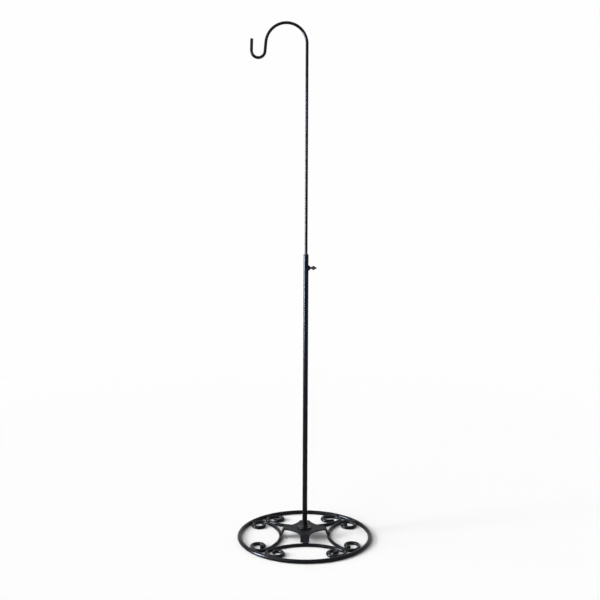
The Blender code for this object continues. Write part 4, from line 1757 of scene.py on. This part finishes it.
@dataclass(frozen=True)
class Studio:
    """Floor, light and camera round the stand."""

    camera_place: tuple[float, float, float] = (-0.0128, -2.2672, 0.9114)
    pitch: float = 0.1599
    roll: float = -0.0041
    lens: float = 63.0
    sensor: float = 36.0
    lamps: tuple[SoftLamp, ...] = (
        SoftLamp("window_light", math.radians(204), math.radians(32), math.radians(78), 3.2),
        SoftLamp("core_light", math.radians(196), math.radians(26), math.radians(13), 1.55),
    )
    ambient: float = 0.30
    white: float = 0.99
    floor_colour: tuple[float, float, float] = (0.90, 0.90, 0.90)
    floor_glow: float = 0.03
    floor_size: float = 60.0
    floor_near: float = 1.1
    floor_far: float = 1.9
    strip_place: tuple[float, float, float] = (-1.7, -0.3, 0.58)
    strip_size: tuple[float, float] = (0.45, 0.92)
    strip_power: float = 225.0
    strip_colour: tuple[float, float, float] = (0.78, 0.86, 1.0)

    def add_camera(self) -> None:
        """Camera at the height of the pole's upper half, looking a little down."""
        data = bpy.data.cameras.new("front_camera")
        data.lens = self.lens
        data.sensor_width = self.sensor
        camera = linked("front_camera", data)
        sine, cosine = math.sin(self.pitch), math.cos(self.pitch)
        right, up = X_AXIS, np.array((0.0, sine, cosine))
        back = np.array((0.0, -cosine, sine))
        rolled_right = right * math.cos(self.roll) - up * math.sin(self.roll)
        rolled_up = up * math.cos(self.roll) + right * math.sin(self.roll)
        turn = Matrix(np.column_stack([rolled_right, rolled_up, back]).tolist()).to_4x4()
        camera.matrix_world = Matrix.Translation(self.camera_place) @ turn
        bpy.context.scene.camera = camera

    def aimed(self, lamp: bpy.types.Object, towards: np.ndarray) -> None:
        """Point a lamp so that its light comes from the given direction.

        Args:
            lamp: the lamp's object.
            towards: direction from the stand to the lamp.
        """
        towards = towards / np.linalg.norm(towards)
        side = np.cross(Z_AXIS, towards)
        side /= np.linalg.norm(side)
        turn = Matrix(np.column_stack([side, np.cross(towards, side), towards]).tolist())
        lamp.matrix_world = turn.to_4x4()

    def add_lamps(self) -> None:
        """Broad soft light from the left and a little in front, with a brighter core."""
        for soft in self.lamps:
            data = bpy.data.lights.new(soft.name, "SUN")
            data.energy = soft.strength
            data.angle = soft.angle
            flat = math.cos(soft.elevation)
            self.aimed(linked(soft.name, data),
                       np.array((flat * math.cos(soft.azimuth), flat * math.sin(soft.azimuth),
                                 math.sin(soft.elevation))))

    def add_strip(self) -> None:
        """Tall cool panel at the left that only reflections see."""
        data = bpy.data.lights.new("strip_light", "AREA")
        data.shape = "RECTANGLE"
        data.size, data.size_y = self.strip_size
        data.energy = self.strip_power
        data.color = self.strip_colour
        lamp = linked("strip_light", data)
        self.aimed(lamp, self.strip_place * np.array((1.0, 1.0, 0.0)))
        lamp.location = self.strip_place
        lamp.visible_diffuse = False

    def add_world(self) -> None:
        """Plain even light, and white where the camera or a reflection sees it."""
        world = bpy.data.worlds.new("studio_air")
        world.use_nodes = True
        bpy.context.scene.world = world
        wiring = Wiring(world.node_tree)
        strength = wiring.spread(seen_directly(wiring), 0.0, 1.0, self.ambient, self.white)
        background = world.node_tree.nodes["Background"]
        background.inputs["Color"].default_value = (1.0, 1.0, 1.0, 1.0)
        world.node_tree.links.new(strength, background.inputs["Strength"])

    def add_floor(self) -> None:
        """Pale floor that keeps the stand's shadow and runs out into the white far off.

        The matt floor gives way to plain white between the near and the far distance from
        the stand, but only where it is seen: the light that it throws back stays its own.
        """
        half = self.floor_size / 2
        mesh = bpy.data.meshes.new("floor")
        mesh.from_pydata([(-half, -half, 0.0), (half, -half, 0.0), (half, half, 0.0),
                          (-half, half, 0.0)], [], [(0, 1, 2, 3)])
        floor = linked("floor", mesh)
        made = bpy.data.materials.new("pale_floor")
        made.use_nodes = True
        made.node_tree.nodes.clear()
        wiring = Wiring(made.node_tree)
        place = wiring.add("ShaderNodeTexCoord").outputs["Object"]
        distance = wiring.add("ShaderNodeVectorMath", {0: place}, operation="LENGTH")
        fade = wiring.spread(distance.outputs["Value"], self.floor_near, self.floor_far)
        seen = seen_directly(wiring)
        matt = wiring.add("ShaderNodeBsdfDiffuse", {"Color": (*self.floor_colour, 1.0)})
        glow = wiring.add("ShaderNodeEmission",
                          {"Strength": wiring.product(seen, self.floor_glow)})
        near = wiring.add("ShaderNodeAddShader", {0: matt.outputs[0], 1: glow.outputs[0]})
        far = wiring.add("ShaderNodeEmission", {"Strength": self.white})
        both = wiring.add("ShaderNodeMixShader", {
            0: wiring.product(fade, seen), 1: near.outputs[0], 2: far.outputs[0]})
        wiring.add("ShaderNodeOutputMaterial", {"Surface": both.outputs[0]})
        mesh.materials.append(made)

    def build(self) -> None:
        """Set the whole studio up."""
        self.add_camera()
        self.add_lamps()
        self.add_strip()
        self.add_world()
        self.add_floor()
        bpy.context.scene.view_settings.view_transform = "Standard"
        LOG.info("studio: camera, two soft lamps, strip light, world and floor")


def seen_directly(wiring: Wiring) -> bpy.types.NodeSocket:
    """One where the camera, a reflection or a clear pane sees the surface, else zero.

    Args:
        wiring: of the material or world.

    Returns:
        The socket.
    """
    path = wiring.add("ShaderNodeLightPath")
    mirrored = wiring.maths("ADD", path.outputs["Is Glossy Ray"],
                            path.outputs["Is Transmission Ray"])
    both = wiring.maths("ADD", path.outputs["Is Camera Ray"], mirrored)
    return wiring.maths("MINIMUM", both, 1.0)


def main() -> None:
    """Build the studio and every sub-assembly."""
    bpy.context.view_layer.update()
    workshop = Workshop(Palette())
    Studio().build()
    ring = RingBase()
    for part in (ring, ScrollSet(ring), SpiderPlate(), PoleFoot(), LowerTube(), ScrewClamp(),
                 HookRod(), WeldBeads()):
        LOG.info("building %s", type(part).__name__)
        part.build(workshop)


if __name__ == "__main__":
    logging.basicConfig(level=logging.INFO, format="%(message)s")
    main()
